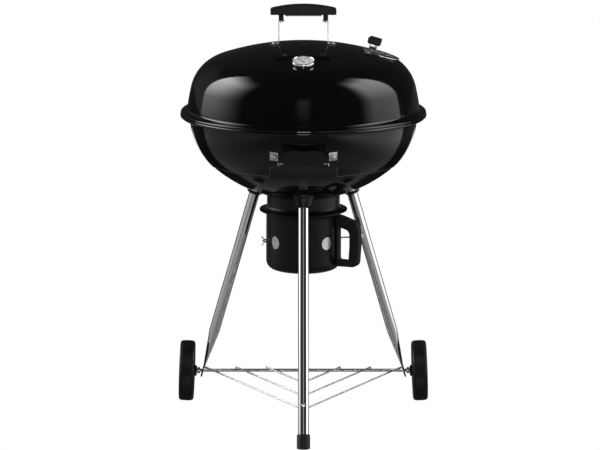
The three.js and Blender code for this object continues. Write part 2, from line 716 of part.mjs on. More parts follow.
const camber = wheel.camber * degree;
const axleHeight = Math.max(...wheelOutline().map(([r, x]) => r * Math.cos(camber) + x * Math.sin(camber)));
const axleY = legReach(axleHeight) * Math.sin(legAzimuths.right * degree);
const legEndX = legReach(axleHeight) * Math.cos(legAzimuths.right * degree);

function makeWheels() {
  const axleEnd = wheel.centreX + wheel.width / 2 - 3;
  add('axle', bar(axleRadius, -axleEnd, axleEnd, 16).rotateY(Math.PI / 2).translate(0, axleY, axleHeight),
    plainSteel());
  for (const [name, side] of sides) {
    const outward = new THREE.Vector3(side * Math.cos(camber), 0, Math.sin(camber));
    const centre = new THREE.Vector3(side * wheel.centreX, axleY, axleHeight);
    add(`wheel_${name}`, spun(wheelOutline(), 28), blackPlastic(),
      frameAt(centre, outward, new THREE.Vector3(0, 1, 0)));
    const sleeve = (outer, inner, low, high, count) => cut(solid(bar(outer, low, high, count)),
      [solid(bar(inner, low - 1, high + 1, 16))]);
    const alongAxle = frameAt(new THREE.Vector3(0, axleY, axleHeight), new THREE.Vector3(side, 0, 0),
      new THREE.Vector3(0, 1, 0));
    const spacerFrom = legEndX + 7.5;
    const spacerTo = wheel.centreX - wheel.width / 2 - 6 - 1;
    add(`axle_spacer_${name}`, sleeve(8, axleRadius + gap, spacerFrom, spacerTo, 16), plainSteel(), alongAxle);
    const nutFrom = wheel.centreX + wheel.width / 2 - 10 + 1;
    add(`axle_nut_${name}`, sleeve(8, axleRadius + gap, nutFrom, nutFrom + 4.5, 6), plainSteel(), alongAxle);
  }
}

// ------------------------------------------------------------------ ash collar and pot

/** A flare in the [radius, height] plane: it leaves the wall upright and ends level at the tip. */
function flare(wallR, wallZ, tipR, tipZ, steps) {
  return Array.from({ length: steps + 1 }, (_, i) => {
    const angle = (i / steps) * (Math.PI / 2);
    return [wallR + (tipR - wallR) * (1 - Math.cos(angle)), wallZ + (tipZ - wallZ) * Math.sin(angle)];
  });
}

function makeCollar() {
  const line = [
    [collar.radius, collar.top],
    ...flare(collar.radius, collar.shoulder, pot.brim, pot.seam + pot.wall + gap / 2, 4),
  ];
  add('ash_collar', spun(thicken(line, -pot.wall)), satinBlack());
}

function potHoleTools(turn) {
  return [0, 90, 180, 270].map((step) => {
    const matrix = new THREE.Matrix4().makeRotationZ((potHoles.first + step + turn) * degree);
    return placed(bar(potHoles.radius, 60, 110, 10).rotateY(Math.PI / 2).translate(0, 0, potHoles.height),
      matrix);
  });
}

const leverAzimuth = damperBolts.azimuth;
const clampAzimuth = damperBolts.azimuth + 180;
const slotSpare = 2.2; // degrees of slot left free past the bolt at each end

/** A cross-wall bar at an azimuth and the damper bolts' height. */
function damperBar(azimuth, radius, from, to, count = 10) {
  return placed(bar(radius, from, to, count).rotateY(Math.PI / 2), new THREE.Matrix4()
    .makeRotationZ(azimuth * degree).setPosition(0, 0, damperBolts.height));
}

function makePot() {
  const line = [
    [0, pot.bottom],
    ...arc(pot.radius - pot.corner, pot.bottom + pot.corner, pot.corner, -90, 0, 4),
    ...flare(pot.radius, pot.lip, pot.brim, pot.seam - pot.wall - gap / 2, 4),
  ];
  const slots = [leverAzimuth, clampAzimuth].map((azimuth) => {
    const path = new THREE.Shape();
    path.absarc(0, 0, 110, (azimuth - potHoles.turn - slotSpare) * degree, (azimuth + slotSpare) * degree);
    path.absarc(0, 0, 70, (azimuth + slotSpare) * degree, (azimuth - potHoles.turn - slotSpare) * degree, true);
    return solid(new THREE.ExtrudeGeometry(path, { depth: 6, bevelEnabled: false, curveSegments: 3 })
      .translate(0, 0, damperBolts.height - 3));
  });
  const screws = potScrewHeights.map((height) => placed(
    bar(2.4, 70, 110, 10).rotateY(Math.PI / 2).translate(0, 0, height),
    new THREE.Matrix4().makeRotationZ(potHandle.azimuth * degree)));
  const body = cut(solid(spun(thicken(line, pot.wall))), [...potHoleTools(0), ...slots, ...screws]);
  add('ash_pot', body, satinBlack());
  const outer = pot.radius - pot.wall - gap - 0.3;
  const inner = outer - 1;
  const [low, high] = [potHoles.height - 25, potHoles.height + 25];
  const band = spun([[inner, low], [outer, low], [outer, high], [inner, high]]);
  add('ash_damper_band', cut(solid(band), [
    ...potHoleTools(potHoles.turn), damperBar(leverAzimuth, 2.4, 70, 110), damperBar(clampAzimuth, 2.4, 70, 110),
  ]), plainSteel());
}

/** A wing nut along X, its flat side at x = from. */
function wingNut(azimuth, from) {
  const outline = new THREE.Shape([
    [0, -4.5], [5.5, -4.5], [8, -8.5], [12.5, -11.5], [14, -9.5], [9, -5.5], [7.5, -3.5], [7.5, 3.5],
    [9, 5.5], [14, 9.5], [12.5, 11.5], [8, 8.5], [5.5, 4.5], [0, 4.5],
  ].map(([x, y]) => new THREE.Vector2(x, y)));
  const wings = new THREE.ExtrudeGeometry(outline, { depth: 2.4, bevelEnabled: false })
    .translate(0, 0, -1.2).rotateX(Math.PI / 2);
  const body = join([solid(wings), solid(bar(4.8, 0, 6, 12).rotateY(Math.PI / 2))]);
  const bored = cut(body, [solid(bar(damperBolts.radius + gap, -2, 20, 12).rotateY(Math.PI / 2))]);
  return [bored, new THREE.Matrix4().makeRotationZ(azimuth * degree)
    .setPosition(polar(from, azimuth, damperBolts.height))];
}

function makeDamperControls() {
  const headOut = pot.radius - pot.wall - 3;
  const bolt = (azimuth, to) => join([
    damperBar(azimuth, damperBolts.radius, headOut - 1, to),
    damperBar(azimuth, 4.5, headOut - 3, headOut, 12),
  ]);
  const clampNutAt = pot.radius + 0.8;
  add('damper_clamp_bolt', bolt(clampAzimuth, clampNutAt + 11), plainSteel());
  add('damper_lever_rod', bolt(leverAzimuth, damperBolts.leverReach + 10), plainSteel());
  const [left, leftAt] = wingNut(clampAzimuth, clampNutAt);
  add('wing_nut_left', left, plainSteel(), leftAt);
  const [right, rightAt] = wingNut(leverAzimuth, damperBolts.leverReach);
  add('wing_nut_right', right, plainSteel(), rightAt);
}

const potScrewHeights = [491, 398.5];

/** The pot's D-shaped handle, in the vertical plane through the pot's axis at the handle's azimuth. */
function makePotHandle() {
  const corners = (points) => points.map(([r, z]) => new THREE.Vector2(r, z));
  const outline = new THREE.Shape(corners([
    [88, 386], [138, 387], [146, 391], [149.5, 399], [152.5, 440], [152.5, 466], [150, 485], [146, 495],
    [140, 500], [104, 512], [88, 514],
  ]));
  outline.holes.push(new THREE.Path(corners([
    [97.5, 402], [97.5, 484], [116, 480], [124, 476], [127.5, 468], [127.5, 440], [125.5, 406], [122, 402],
  ])));
  const bevel = 2.5;
  const body = new THREE.ExtrudeGeometry(outline, {
    depth: potHandle.width - 2 * bevel, bevelEnabled: true, bevelThickness: bevel, bevelSize: bevel,
    bevelOffset: -bevel, bevelSegments: 1,
  }).translate(0, 0, -(potHandle.width - 2 * bevel) / 2).rotateX(Math.PI / 2);
  const turn = new THREE.Matrix4().makeRotationZ(potHandle.azimuth * degree);
  const potVolume = solid(spun([
    [0, pot.bottom], ...arc(pot.radius - pot.corner + gap, pot.bottom + pot.corner, pot.corner, -90, 0, 5),
    ...flare(pot.radius + gap, pot.lip - gap, pot.brim + 1, pot.seam - pot.wall - 2 * gap, 4), [0, pot.seam],
  ]));
  const screwFrames = potScrewHeights.map((height) => turn.clone().multiply(
    new THREE.Matrix4().makeRotationY(Math.PI / 2).setPosition(0, 0, height)));
  const pilots = screwFrames.map((frame) => placed(bar(2.3, 80, 104.5, 10), frame));
  add('ash_pot_handle', cut(placed(body, turn), [potVolume, ...pilots]), blackPlastic());
  const inside = pot.radius - pot.wall - 0.5;
  ['upper', 'lower'].forEach((name, i) => {
    const screw = join([solid(bar(2, inside - 1, 104, 10)), solid(bar(3.6, inside - 2.6, inside, 12))]);
    add(`ash_pot_screw_${name}`, screw, plainSteel(), screwFrames[i]);
  });
}

// ------------------------------------------------------------------ wire rack

function makeRack() {
  const { height, wire: thick, spread, outer, crossY } = rack;
  const apexY = -legReach(height) + legTube.radius / Math.cos(lean) + thick;
  const slope = (axleY - apexY) / outer;
  const parts = [];
  for (let i = 0; i < 3; i += 1) {
    const half = outer - i * spread;
    const at = (x, y, rise) => new THREE.Vector3(x, axleY + y, height + rise);
    const arm = (side) => [at(side * half, 0, 0), at(side * (half + 3), 7, 0), at(side * (half + 3), 8, -10)];
    const apex = at(0, -slope * half, 0);
    parts.push(bentWire(rounded([...arm(-1).reverse(), apex, ...arm(1)], 3), thick));
  }
  const crossReach = outer - crossY / slope;
  const low = height - thick * 1.8;
  parts.push(wire(new THREE.Vector3(-crossReach, axleY - crossY, low),
    new THREE.Vector3(crossReach, axleY - crossY, low), thick));
  const tabFrame = legFrame(legAzimuths.front).multiply(rackScrewInLeg());
  const tab = cut(placed(block([-8, -8, -legTube.radius - gap - 2], [12, 8, -legTube.radius - gap]), tabFrame),
    [placed(bar(2.6, -30, 30, 10), tabFrame)]);
  add('wire_rack', join([...parts, tab]), wireSteel());
  const screw = join([
    solid(bar(2.2, -legTube.radius - 8, legTube.radius + 2, 10)),
    solid(spun([[0, legTube.radius + gap], [4.5, legTube.radius + gap], [3, legTube.radius + 2.6],
      [0, legTube.radius + 2.9]], 12)),
    solid(bar(4.6, -legTube.radius - 6, -legTube.radius - 2 - 2 * gap, 6)),
  ]);
  add('rack_screw', screw, plainSteel(), tabFrame);
}

// ------------------------------------------------------------------ build

makeBowl();
makeGrates();
makeBowlHandle();
makeLid();
makeLidHandle();
makeVent();
makeThermometer();
makeCollar();
makePot();
makeDamperControls();
makePotHandle();
for (const [name, azimuth] of Object.entries(legAzimuths)) makeSocket(name, azimuth);
makeFrontLeg();
makeRearLeg('left', legAzimuths.left);
makeRearLeg('right', legAzimuths.right);
makeWheels();
makeRack();

// The origin is on the floor, in the middle of the whole grill.
const box = new THREE.Box3().setFromObject(grill, true);
const middle = box.getCenter(new THREE.Vector3());
grill.position.set(-middle.x, -middle.y, -box.min.z);
grill.updateMatrixWorld(true);

export default grill;
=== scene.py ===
"""Kettle charcoal grill: the detailed look of the part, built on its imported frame."""

import math

import bmesh
import bpy
from mathutils import Matrix, Vector


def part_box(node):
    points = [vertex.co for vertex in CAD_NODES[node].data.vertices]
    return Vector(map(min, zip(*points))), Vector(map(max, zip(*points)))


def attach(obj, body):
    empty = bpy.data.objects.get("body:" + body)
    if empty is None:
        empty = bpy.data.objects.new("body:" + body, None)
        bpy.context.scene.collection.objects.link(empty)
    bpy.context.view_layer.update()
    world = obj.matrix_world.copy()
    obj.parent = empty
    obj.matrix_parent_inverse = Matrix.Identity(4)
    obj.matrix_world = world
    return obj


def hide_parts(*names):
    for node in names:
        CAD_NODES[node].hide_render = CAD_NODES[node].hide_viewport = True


bl_info = {
    "name": "Kettle Charcoal Grill",
    "version": (1, 0, 0),
    "blender": (4, 5, 0),
    "location": "View3D > Sidebar > Kettle Grill",
    "description": "Builds a kettle charcoal grill piece by piece, and the studio round it",
    "category": "Add Mesh",
}

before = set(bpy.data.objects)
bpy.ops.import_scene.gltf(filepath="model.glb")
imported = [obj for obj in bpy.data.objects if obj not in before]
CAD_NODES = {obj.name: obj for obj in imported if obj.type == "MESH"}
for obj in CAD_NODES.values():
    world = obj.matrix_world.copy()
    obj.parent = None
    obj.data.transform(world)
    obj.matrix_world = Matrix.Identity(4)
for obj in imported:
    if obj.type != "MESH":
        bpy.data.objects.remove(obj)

MM = 0.001
# Shapes are drawn in millimetres round the kettle's upright axis, which stands here in the frame.
POLE_AXIS = Vector((0, (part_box("bowl")[0].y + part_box("bowl")[1].y) / 2, 0))
SIDES = (("left", -1), ("right", 1))
CORNERS = (45, 135, 225, 315)
LEG_AZIMUTHS = {"front": -90.0, "right": 30.0, "left": 150.0}


# ---------------------------------------------------------------- sizes the panel can change


class KettleSettings(bpy.types.PropertyGroup):
    """Sizes of the enamelled kettle."""

    round_steps: bpy.props.IntProperty(
        name="Round steps", description="Faces round each enamelled shell", default=192, min=64, max=256
    )
    sheet: bpy.props.FloatProperty(
        name="Sheet", description="Thickness of the enamelled sheet", default=0.0015, unit="LENGTH"
    )


class StandSettings(bpy.types.PropertyGroup):
    """Sizes of the legs, wheels and rack."""

    tube_radius: bpy.props.FloatProperty(
        name="Leg radius", description="Outer radius of a leg tube", default=0.013, unit="LENGTH"
    )
    rack_wire: bpy.props.FloatProperty(
        name="Rack wire", description="Radius of the rack's wire", default=0.002, unit="LENGTH"
    )


class StudioSettings(bpy.types.PropertyGroup):
    """Light and camera."""

    box_power: bpy.props.FloatProperty(
        name="Box power", description="Brightness of the soft boxes", default=1.4, min=0.0
    )
    lens: bpy.props.FloatProperty(
        name="Lens", description="Focal length of the camera in millimetres", default=199.6, min=1.0
    )


# ---------------------------------------------------------------- shader expressions


class Socket:
    """A shader value that Python's operators can work on."""

    def __init__(self, tree, output):
        self.tree, self.output = tree, output

    def node(self, kind, inputs=(), result=0, **settings):
        """Adds any node, fills its inputs and returns one of its results."""
        made = self.tree.nodes.new(kind)
        for key, value in settings.items():
            setattr(made, key, value)
        for key, value in dict(inputs).items():
            if isinstance(value, Socket):
                self.tree.links.new(value.output, made.inputs[key])
            else:
                made.inputs[key].default_value = value
        return Socket(self.tree, made.outputs[result])

    def _math(self, operation, a, b):
        return self.node("ShaderNodeMath", {0: a, 1: b}, operation=operation)

    def __add__(self, other):
        return self._math("ADD", self, other)

    def __radd__(self, other):
        return self._math("ADD", other, self)

    def __sub__(self, other):
        return self._math("SUBTRACT", self, other)

    def __rsub__(self, other):
        return self._math("SUBTRACT", other, self)

    def __mul__(self, other):
        return self._math("MULTIPLY", self, other)

    def __rmul__(self, other):
        return self._math("MULTIPLY", other, self)

    def clamp(self, low, high):
        """This value rescaled from low..high to 0..1 and kept there."""
        inputs = {"Value": self, "From Min": low, "From Max": high}
        return self.node("ShaderNodeMapRange", inputs, interpolation_type="SMOOTHSTEP")

    def size(self):
        """This value without its sign."""
        return self.node("ShaderNodeMath", {0: self}, operation="ABSOLUTE")

    def part(self, axis):
        """One component of this vector: 0, 1 or 2."""
        return self.node("ShaderNodeSeparateXYZ", {0: self}, result=axis)

    def noise(self, scale, detail=3.0, stretch=(1, 1, 1)):
        """Noise on this coordinate."""
        place = self.node("ShaderNodeMapping", {"Vector": self, "Scale": stretch})
        return self.node("ShaderNodeTexNoise", {"Vector": place, "Scale": scale, "Detail": detail})

    def colour(self, low, high):
        """A colour between two, by this value."""
        return self.node(
            "ShaderNodeMix", {"Factor": self, 6: (*low, 1.0), 7: (*high, 1.0)}, result=2, data_type="RGBA"
        )


def material(name, paint, **constants):
    """A Principled material; paint(coordinate) gives its varying inputs, and may give a height for a bump."""
    made = bpy.data.materials.new(name)
    made.use_nodes = True
    tree = made.node_tree
    shader = tree.nodes["Principled BSDF"]
    for key, value in constants.items():
        shader.inputs[key.replace("_", " ")].default_value = value
    coordinate = tree.nodes.new("ShaderNodeTexCoord")
    start = Socket(tree, coordinate.outputs["Object"])
    for key, value in paint(start).items():
        if key == "bump":
            height, strength = value
            value = start.node("ShaderNodeBump", {"Height": height, "Strength": strength, "Distance": 0.0004})
            key = "Normal"
        tree.links.new(value.output, shader.inputs[key])
    return made


def enamel(at):
    cloud = at.noise(14.0, 2.0)
    peel = at.noise(260.0, 1.0)
    speck = at.noise(900.0, 1.0).clamp(0.72, 0.80)
    return {
        "Base Color": (cloud * 0.5 + speck * 0.5).colour((0.0022, 0.0022, 0.0024), (0.006, 0.006, 0.0064)),
        "Roughness": 0.045 + cloud.clamp(0.35, 0.7) * 0.03 + speck * 0.2,
        "bump": (peel, 0.05),
    }


def bowl_enamel(at):
    """The enamel, with a painted highlight: a lighter line along the edge of the pressed ledge."""
    made = enamel(at)
    away = (at.part(2) - (LEDGE + LEDGE_HALF) * MM).size()
    edge = 1.0 - away.clamp(0.0005, 0.0014)
    # A lighter colour painted along the ledge's edge stands in for the highlight that catches there; noise
    # breaks it up.
    painted_highlight = (edge * (0.6 + at.noise(30.0, 3.0) * 0.8)).colour((0.0, 0.0, 0.0), (0.075, 0.075, 0.078))
    both = {"Factor": 1.0, 6: made["Base Color"], 7: painted_highlight}
    made["Base Color"] = at.node("ShaderNodeMix", both, result=2, data_type="RGBA", blend_type="ADD")
    return made


def blackened(at):
    cloud = at.noise(150.0, 4.0)
    return {
        "Base Color": cloud.colour((0.05, 0.05, 0.052), (0.11, 0.11, 0.112)),
        "Roughness": 0.3 + cloud * 0.2,
        "bump": (at.noise(700.0, 2.0), 0.1),
    }


def satin_enamel(at):
    cloud = at.noise(22.0, 4.0)
    grain = at.noise(1400.0, 2.0)
    return {
        "Base Color": cloud.colour((0.003, 0.003, 0.0032), (0.006, 0.006, 0.0063)),
        "Roughness": 0.26 + cloud.clamp(0.3, 0.7) * 0.12,
        "bump": (grain, 0.12),
    }


def plastic(at):
    cloud = at.noise(35.0, 4.0)
    grain = at.noise(2600.0, 2.0)
    return {
        "Base Color": cloud.colour((0.006, 0.006, 0.0063), (0.011, 0.011, 0.0114)),
        "Roughness": 0.42 + grain * 0.16,
        "bump": (grain, 0.25),
    }


def tread_plastic(at):
    cloud = at.noise(28.0, 5.0)
    grain = at.noise(1500.0, 3.0)
    dust = at.noise(90.0, 6.0).clamp(0.55, 0.75)
    return {
        "Base Color": (cloud * 0.5 + dust * 0.5).colour((0.004, 0.004, 0.0043), (0.011, 0.011, 0.011)),
        "Roughness": 0.45 + dust * 0.2,
        "bump": (grain, 0.3),
    }


def polished(at):
    streak = at.noise(300.0, 3.0, (1, 1, 0.04))
    cloud = at.noise(20.0, 3.0)
    return {
        "Base Color": cloud.colour((0.86, 0.865, 0.87), (0.94, 0.943, 0.946)),
        "Roughness": 0.05 + streak.clamp(0.4, 0.75) * 0.07,
        "bump": (cloud, 0.01),
    }


def plated(at):
    brushed = at.noise(500.0, 4.0, (0.05, 1, 1))
    cloud = at.noise(60.0, 4.0)
    return {
        "Base Color": cloud.colour((0.50, 0.505, 0.51), (0.66, 0.665, 0.67)),
        "Roughness": 0.20 + brushed * 0.22,
        "bump": (brushed, 0.08),
    }


def wire_plate(at):
    cloud = at.noise(120.0, 5.0)
    return {
        "Base Color": cloud.colour((0.58, 0.585, 0.59), (0.76, 0.765, 0.77)),
        "Roughness": 0.3 + cloud * 0.2,
        "bump": (at.noise(900.0, 2.0), 0.1),
    }


def dial_paint(at):
    cloud = at.noise(180.0, 3.0)
    return {
        "Base Color": cloud.colour((0.80, 0.81, 0.80), (0.92, 0.92, 0.90)),
        "Roughness": 0.3 + cloud * 0.2,
    }


def ink(at):
    cloud = at.noise(400.0, 3.0)
    return {
        "Base Color": cloud.colour((0.01, 0.01, 0.01), (0.04, 0.04, 0.04)),
        "Roughness": 0.4 + cloud * 0.2,
    }


def clear(at):
    smear = at.noise(60.0, 4.0)
    return {"Roughness": 0.01 + smear.clamp(0.5, 0.8) * 0.06}


MATERIALS = {}


def make_materials():
    """Every finish on the grill."""
    MATERIALS.update(
        enamel=material("black_enamel", enamel, IOR=1.4),
        bowl_enamel=material("bowl_enamel", bowl_enamel, IOR=1.4),
        satin=material("satin_enamel", satin_enamel, IOR=1.3),
        plastic=material("moulded_plastic", plastic, IOR=1.33),
        tread=material("wheel_plastic", tread_plastic, IOR=1.36),
        polished=material("polished_tube", polished, Metallic=1.0),
        plated=material("plated_steel", plated, Metallic=1.0),
        blackened=material("blackened_steel", blackened, Metallic=1.0),
        wire=material("plated_wire", wire_plate, Metallic=1.0),
        dial=material("dial_face", dial_paint),
        ink=material("dial_ink", ink),
        lens=material("clear_lens", clear, Alpha=0.16),
    )


# ---------------------------------------------------------------- shapes


def polar(radius, azimuth, height=0.0):
    """A point from its distance to the kettle's axis, in millimetres and degrees."""
    a = math.radians(azimuth)
    return Vector((radius * math.cos(a), radius * math.sin(a), height))


def frame_at(origin, normal, hint):
    """A matrix in millimetres: Z along the normal, X as near as can be to the hint."""
    z = normal.normalized()
    y = z.cross(hint).normalized()
    x = y.cross(z)
    turn = Matrix((x, y, z)).transposed().to_4x4()
    return Matrix.Translation(origin) @ turn


def arc(centre_r, centre_z, radius, start, end, steps):
    """Points of an arc in the radius and height plane."""
    out = []
    for i in range(steps + 1):
        a = math.radians(start + (end - start) * i / steps)
        out.append((centre_r + radius * math.cos(a), centre_z + radius * math.sin(a)))
    return out


def bend(before, corner, after, reach, steps):
    """Points that round a corner, starting and ending at a distance from it."""
    start = corner + (before - corner).normalized() * reach
    end = corner + (after - corner).normalized() * reach
    places = [k / steps for k in range(steps + 1)]
    return [start * (1 - t) ** 2 + corner * 2 * t * (1 - t) + end * t * t for t in places]


def soften(points, radius, steps=4):
    """A closed outline with its corners rounded."""
    out = []
    count = len(points)
    for i in range(count):
        before, corner, after = (Vector(points[(i + k) % count]) for k in (-1, 0, 1))
        reach = min(radius, (before - corner).length * 0.45, (after - corner).length * 0.45)
        out += [tuple(point) for point in bend(before, corner, after, reach, steps)]
    return out


def rounded(points, radius, steps=5):
    """An open path with its corners rounded."""
    path = [Vector(point) for point in points]
    out = [path[0]]
    for before, corner, after in zip(path, path[1:], path[2:]):
        out += bend(before, corner, after, radius, steps)
    return out + [path[-1]]


def thicken(line, thickness):
    """A line made into a closed outline: the side to the left of its direction is filled."""

    def left_of(a, b):
        d = Vector(b) - Vector(a)
        return Vector((-d.y, d.x)).normalized()

    far = []
    last = len(line) - 1
    for i, point in enumerate(line):
        before = left_of(line[max(i - 1, 0)], line[max(i, 1)])
        after = left_of(line[min(i, last - 1)], line[min(i + 1, last)])
        total = before + after
        offset = total * (2 * thickness / total.length_squared)
        at = Vector(point) + offset
        if abs(point[0]) < 1e-9:
            at.x = 0.0
        far.append(tuple(at))
    return list(line) + far[::-1]


class Shape:
    """A mesh being built in millimetres, in the kettle's own frame."""

    def __init__(self):
        self.bm = bmesh.new()

    def put(self, before, matrix):
        """Moves the vertices that are new since before by a matrix, if one is given."""
        if matrix is not None:
            fresh = [v for v in self.bm.verts if v not in before]
            bmesh.ops.transform(self.bm, matrix=matrix, verts=fresh)
        return self

    def lathe(self, outline, steps=64, matrix=None):
        """Spins an outline round Z. It's a closed outline, or one that starts and ends on the axis."""
        before = set(self.bm.verts)
        verts = [self.bm.verts.new((r, 0, z)) for r, z in outline]
        edges = [self.bm.edges.new(pair) for pair in zip(verts, verts[1:])]
        if abs(outline[0][0]) > 1e-9 or abs(outline[-1][0]) > 1e-9:
            edges.append(self.bm.edges.new((verts[-1], verts[0])))
        bmesh.ops.spin(
            self.bm, geom=verts + edges, cent=(0, 0, 0), axis=(0, 0, 1), angle=math.tau, steps=steps,
            use_merge=True,
        )
        fresh = [v for v in self.bm.verts if v not in before]
        bmesh.ops.remove_doubles(self.bm, verts=fresh, dist=1e-4)
        return self.put(before, matrix)

    def bar(self, radius, low, high, steps=24, matrix=None, edge=0.5, top=None):
        """A round bar along Z with softened ends."""
        top = radius if top is None else top
        outline = [
            (0, low), (radius - edge, low), (radius - edge * 0.3, low + edge * 0.3), (radius, low + edge),
            (top, high - edge), (top - edge * 0.3, high - edge * 0.3), (top - edge, high), (0, high),
        ]
        return self.lathe(outline, steps, matrix)

    def tube(self, path, radius, steps=12):
        """A round wire bent along a path of points."""
        points = [Vector(p) for p in path]
        last = len(points) - 1
        hint = Vector((0, 0, 1))
        place = None
        for i, point in enumerate(points):
            into = (points[max(i, 1)] - points[max(i, 1) - 1]).normalized()
            out = (points[min(i, last - 1) + 1] - points[min(i, last - 1)]).normalized()
            along = (into + out).normalized()
            if abs(along.dot(hint)) > 0.95:
                hint = Vector((0, 1, 0))
            target = frame_at(point, along, hint)
            if place is None:
                ring = bmesh.ops.create_circle(self.bm, segments=steps, radius=radius, matrix=target)
                first = loop = list({e for v in ring["verts"] for e in v.link_edges})
            else:
                swept = bmesh.ops.extrude_edge_only(self.bm, edges=loop)["geom"]
                fresh = [g for g in swept if isinstance(g, bmesh.types.BMVert)]
                edges = [g for g in swept if isinstance(g, bmesh.types.BMEdge)]
                loop = [e for e in edges if all(v in fresh for v in e.verts)]
                bmesh.ops.transform(self.bm, matrix=target @ place.inverted(), verts=fresh)
            place = target
            hint = place.col[0].to_3d()
        bmesh.ops.holes_fill(self.bm, edges=first + loop, sides=steps)
        return self

    def block(self, low, high, matrix=None, edge=0.6, segments=2):
        """A box between two corners with rounded edges."""
        before = set(self.bm.verts)
        made = bmesh.ops.create_cube(self.bm, size=1.0)["verts"]
        size = [h - l for l, h in zip(low, high)]
        middle = [(h + l) / 2 for l, h in zip(low, high)]
        bmesh.ops.transform(
            self.bm, matrix=Matrix.Translation(middle) @ Matrix.Diagonal((*size, 1.0)), verts=made
        )
        edges = list({e for v in made for e in v.link_edges})
        bmesh.ops.bevel(
            self.bm, geom=edges, offset=min(edge, min(size) * 0.4), segments=segments, profile=0.5,
            affect="EDGES", material=-1,
        )
        return self.put(before, matrix)

    def prism(self, outline, low, high, matrix=None):
        """A closed outline in XY given depth along Z."""
        before = set(self.bm.verts)
        verts = [self.bm.verts.new((x, y, low)) for x, y in outline]
        face = self.bm.faces.new(verts)
        raised = bmesh.ops.extrude_face_region(self.bm, geom=[face], use_keep_orig=True)["geom"]
        tops = [g for g in raised if isinstance(g, bmesh.types.BMVert)]
        bmesh.ops.translate(self.bm, verts=tops, vec=(0, 0, high - low))
        return self.put(before, matrix)

    def slab(self, outline, low, high, matrix=None, edge=1.5, segments=3, holes=()):
        """A closed outline in XY, with holes if need be, given depth along Z and rounded edges."""
        before = set(self.bm.verts)
        loops = []
        for ring in (outline, *holes):
            verts = [self.bm.verts.new((x, y, low)) for x, y in ring]
            loops += [self.bm.edges.new(pair) for pair in zip(verts, verts[1:] + verts[:1])]
        if holes:
            filled = bmesh.ops.triangle_fill(self.bm, edges=loops, use_beauty=True)["geom"]
            faces = [g for g in filled if isinstance(g, bmesh.types.BMFace)]
        else:
            faces = bmesh.ops.contextual_create(self.bm, geom=loops)["faces"]
        raised = bmesh.ops.extrude_face_region(self.bm, geom=faces, use_keep_orig=True)["geom"]
        tops = [g for g in raised if isinstance(g, bmesh.types.BMVert)]
        bmesh.ops.translate(self.bm, verts=tops, vec=(0, 0, high - low))
        fresh = [v for v in self.bm.verts if v not in before]
        faces = list({f for v in fresh for f in v.link_faces})
        bmesh.ops.recalc_face_normals(self.bm, faces=faces)
        sharp = [
            e for e in {e for v in fresh for e in v.link_edges}
            if len(e.link_faces) == 2 and e.calc_face_angle(0.0) > 1.2
        ]
        bmesh.ops.bevel(
            self.bm, geom=sharp, offset=edge, segments=segments, profile=0.5, affect="EDGES",
            material=-1, clamp_overlap=True,
        )
        return self.put(before, matrix)

    def reshape(self, rule):
        """Moves every vertex by a rule from its place to a new place."""
        for v in self.bm.verts:
            v.co = rule(v.co.copy())
        return self

    def done(self, name, finish, body, *nodes, smooth=35.0, cutters=()):
        """Makes the finished object, which stands for some CAD nodes and rides with a body."""
        if not self.bm.faces:
            raise RuntimeError(f"{name} has no faces")
        bmesh.ops.recalc_face_normals(self.bm, faces=self.bm.faces)
        self.bm.transform(Matrix.Translation(POLE_AXIS) @ Matrix.Scale(MM, 4))
        mesh = bpy.data.meshes.new(name)
        self.bm.to_mesh(mesh)
        self.bm.free()
        made = bpy.data.objects.new(name, mesh)
        bpy.context.scene.collection.objects.link(made)
        if cutters:
            drill(made, cutters)
        mesh = made.data
        mesh.shade_smooth()
        mesh.set_sharp_from_angle(angle=math.radians(smooth))
        mesh.materials.clear()
        mesh.materials.append(MATERIALS[finish])
        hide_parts(*nodes)
        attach(made, body)
        return made


def drill(made, cutters):
    """Cuts holes along Z: each cutter is a half length, a half width and a matrix in millimetres."""
    tool = Shape()
    steps, depth = 40, 30
    for half_length, half_width, matrix in cutters:
        slide = half_length - half_width
        outline = []
        for k in range(steps):
            x, y = half_width * math.cos(math.tau * k / steps), half_width * math.sin(math.tau * k / steps)
            outline.append((x, y + math.copysign(slide, y)))
        tool.prism(outline, -depth, depth, matrix)
    bmesh.ops.recalc_face_normals(tool.bm, faces=tool.bm.faces)
    tool.bm.transform(Matrix.Translation(POLE_AXIS) @ Matrix.Scale(MM, 4))
    mesh = bpy.data.meshes.new("cutter")
    tool.bm.to_mesh(mesh)
    tool.bm.free()
    cutter = bpy.data.objects.new("cutter", mesh)
    bpy.context.scene.collection.objects.link(cutter)
    cut = made.modifiers.new("cut", "BOOLEAN")
    cut.object, cut.operation, cut.solver = cutter, "DIFFERENCE", "EXACT"
    bpy.context.view_layer.update()
    with bpy.context.temp_override(object=made, active_object=made, selected_objects=[made]):
        bpy.ops.object.modifier_apply(modifier=cut.name)
    bpy.data.objects.remove(cutter)


# ---------------------------------------------------------------- outlines of the kettle


def dome(pole, rise, arcs, edge, grow=0.0, steps=(24, 28, 20)):
    """Three tangent arcs from the pole outwards; rise is -1 for a lid and 1 for a bowl."""
    (crown, first), (shoulder, second), wall = arcs
    first, second = math.radians(first), math.radians(second)
    crown_z = pole + rise * crown
    shoulder_r = (crown - shoulder) * math.sin(first)
    shoulder_z = crown_z - rise * (crown - shoulder) * math.cos(first)
    wall_r = shoulder_r + (shoulder - wall) * math.sin(second)
    wall_z = shoulder_z - rise * (shoulder - wall) * math.cos(second)
    last = math.acos((wall_z - edge) / (rise * (wall + grow)))
    points = []
    for centre_r, centre_z, radius, start, end, count in (
        (0, crown_z, crown + grow, 0, first, steps[0]),
        (shoulder_r, shoulder_z, shoulder + grow, first, second, steps[1]),
        (wall_r, wall_z, wall + grow, second, last, steps[2]),
    ):
        for i in range(1 if points else 0, count + 1):
            a = start + (end - start) * i / count
            points.append((centre_r + radius * math.sin(a), centre_z - rise * radius * math.cos(a)))
    return points


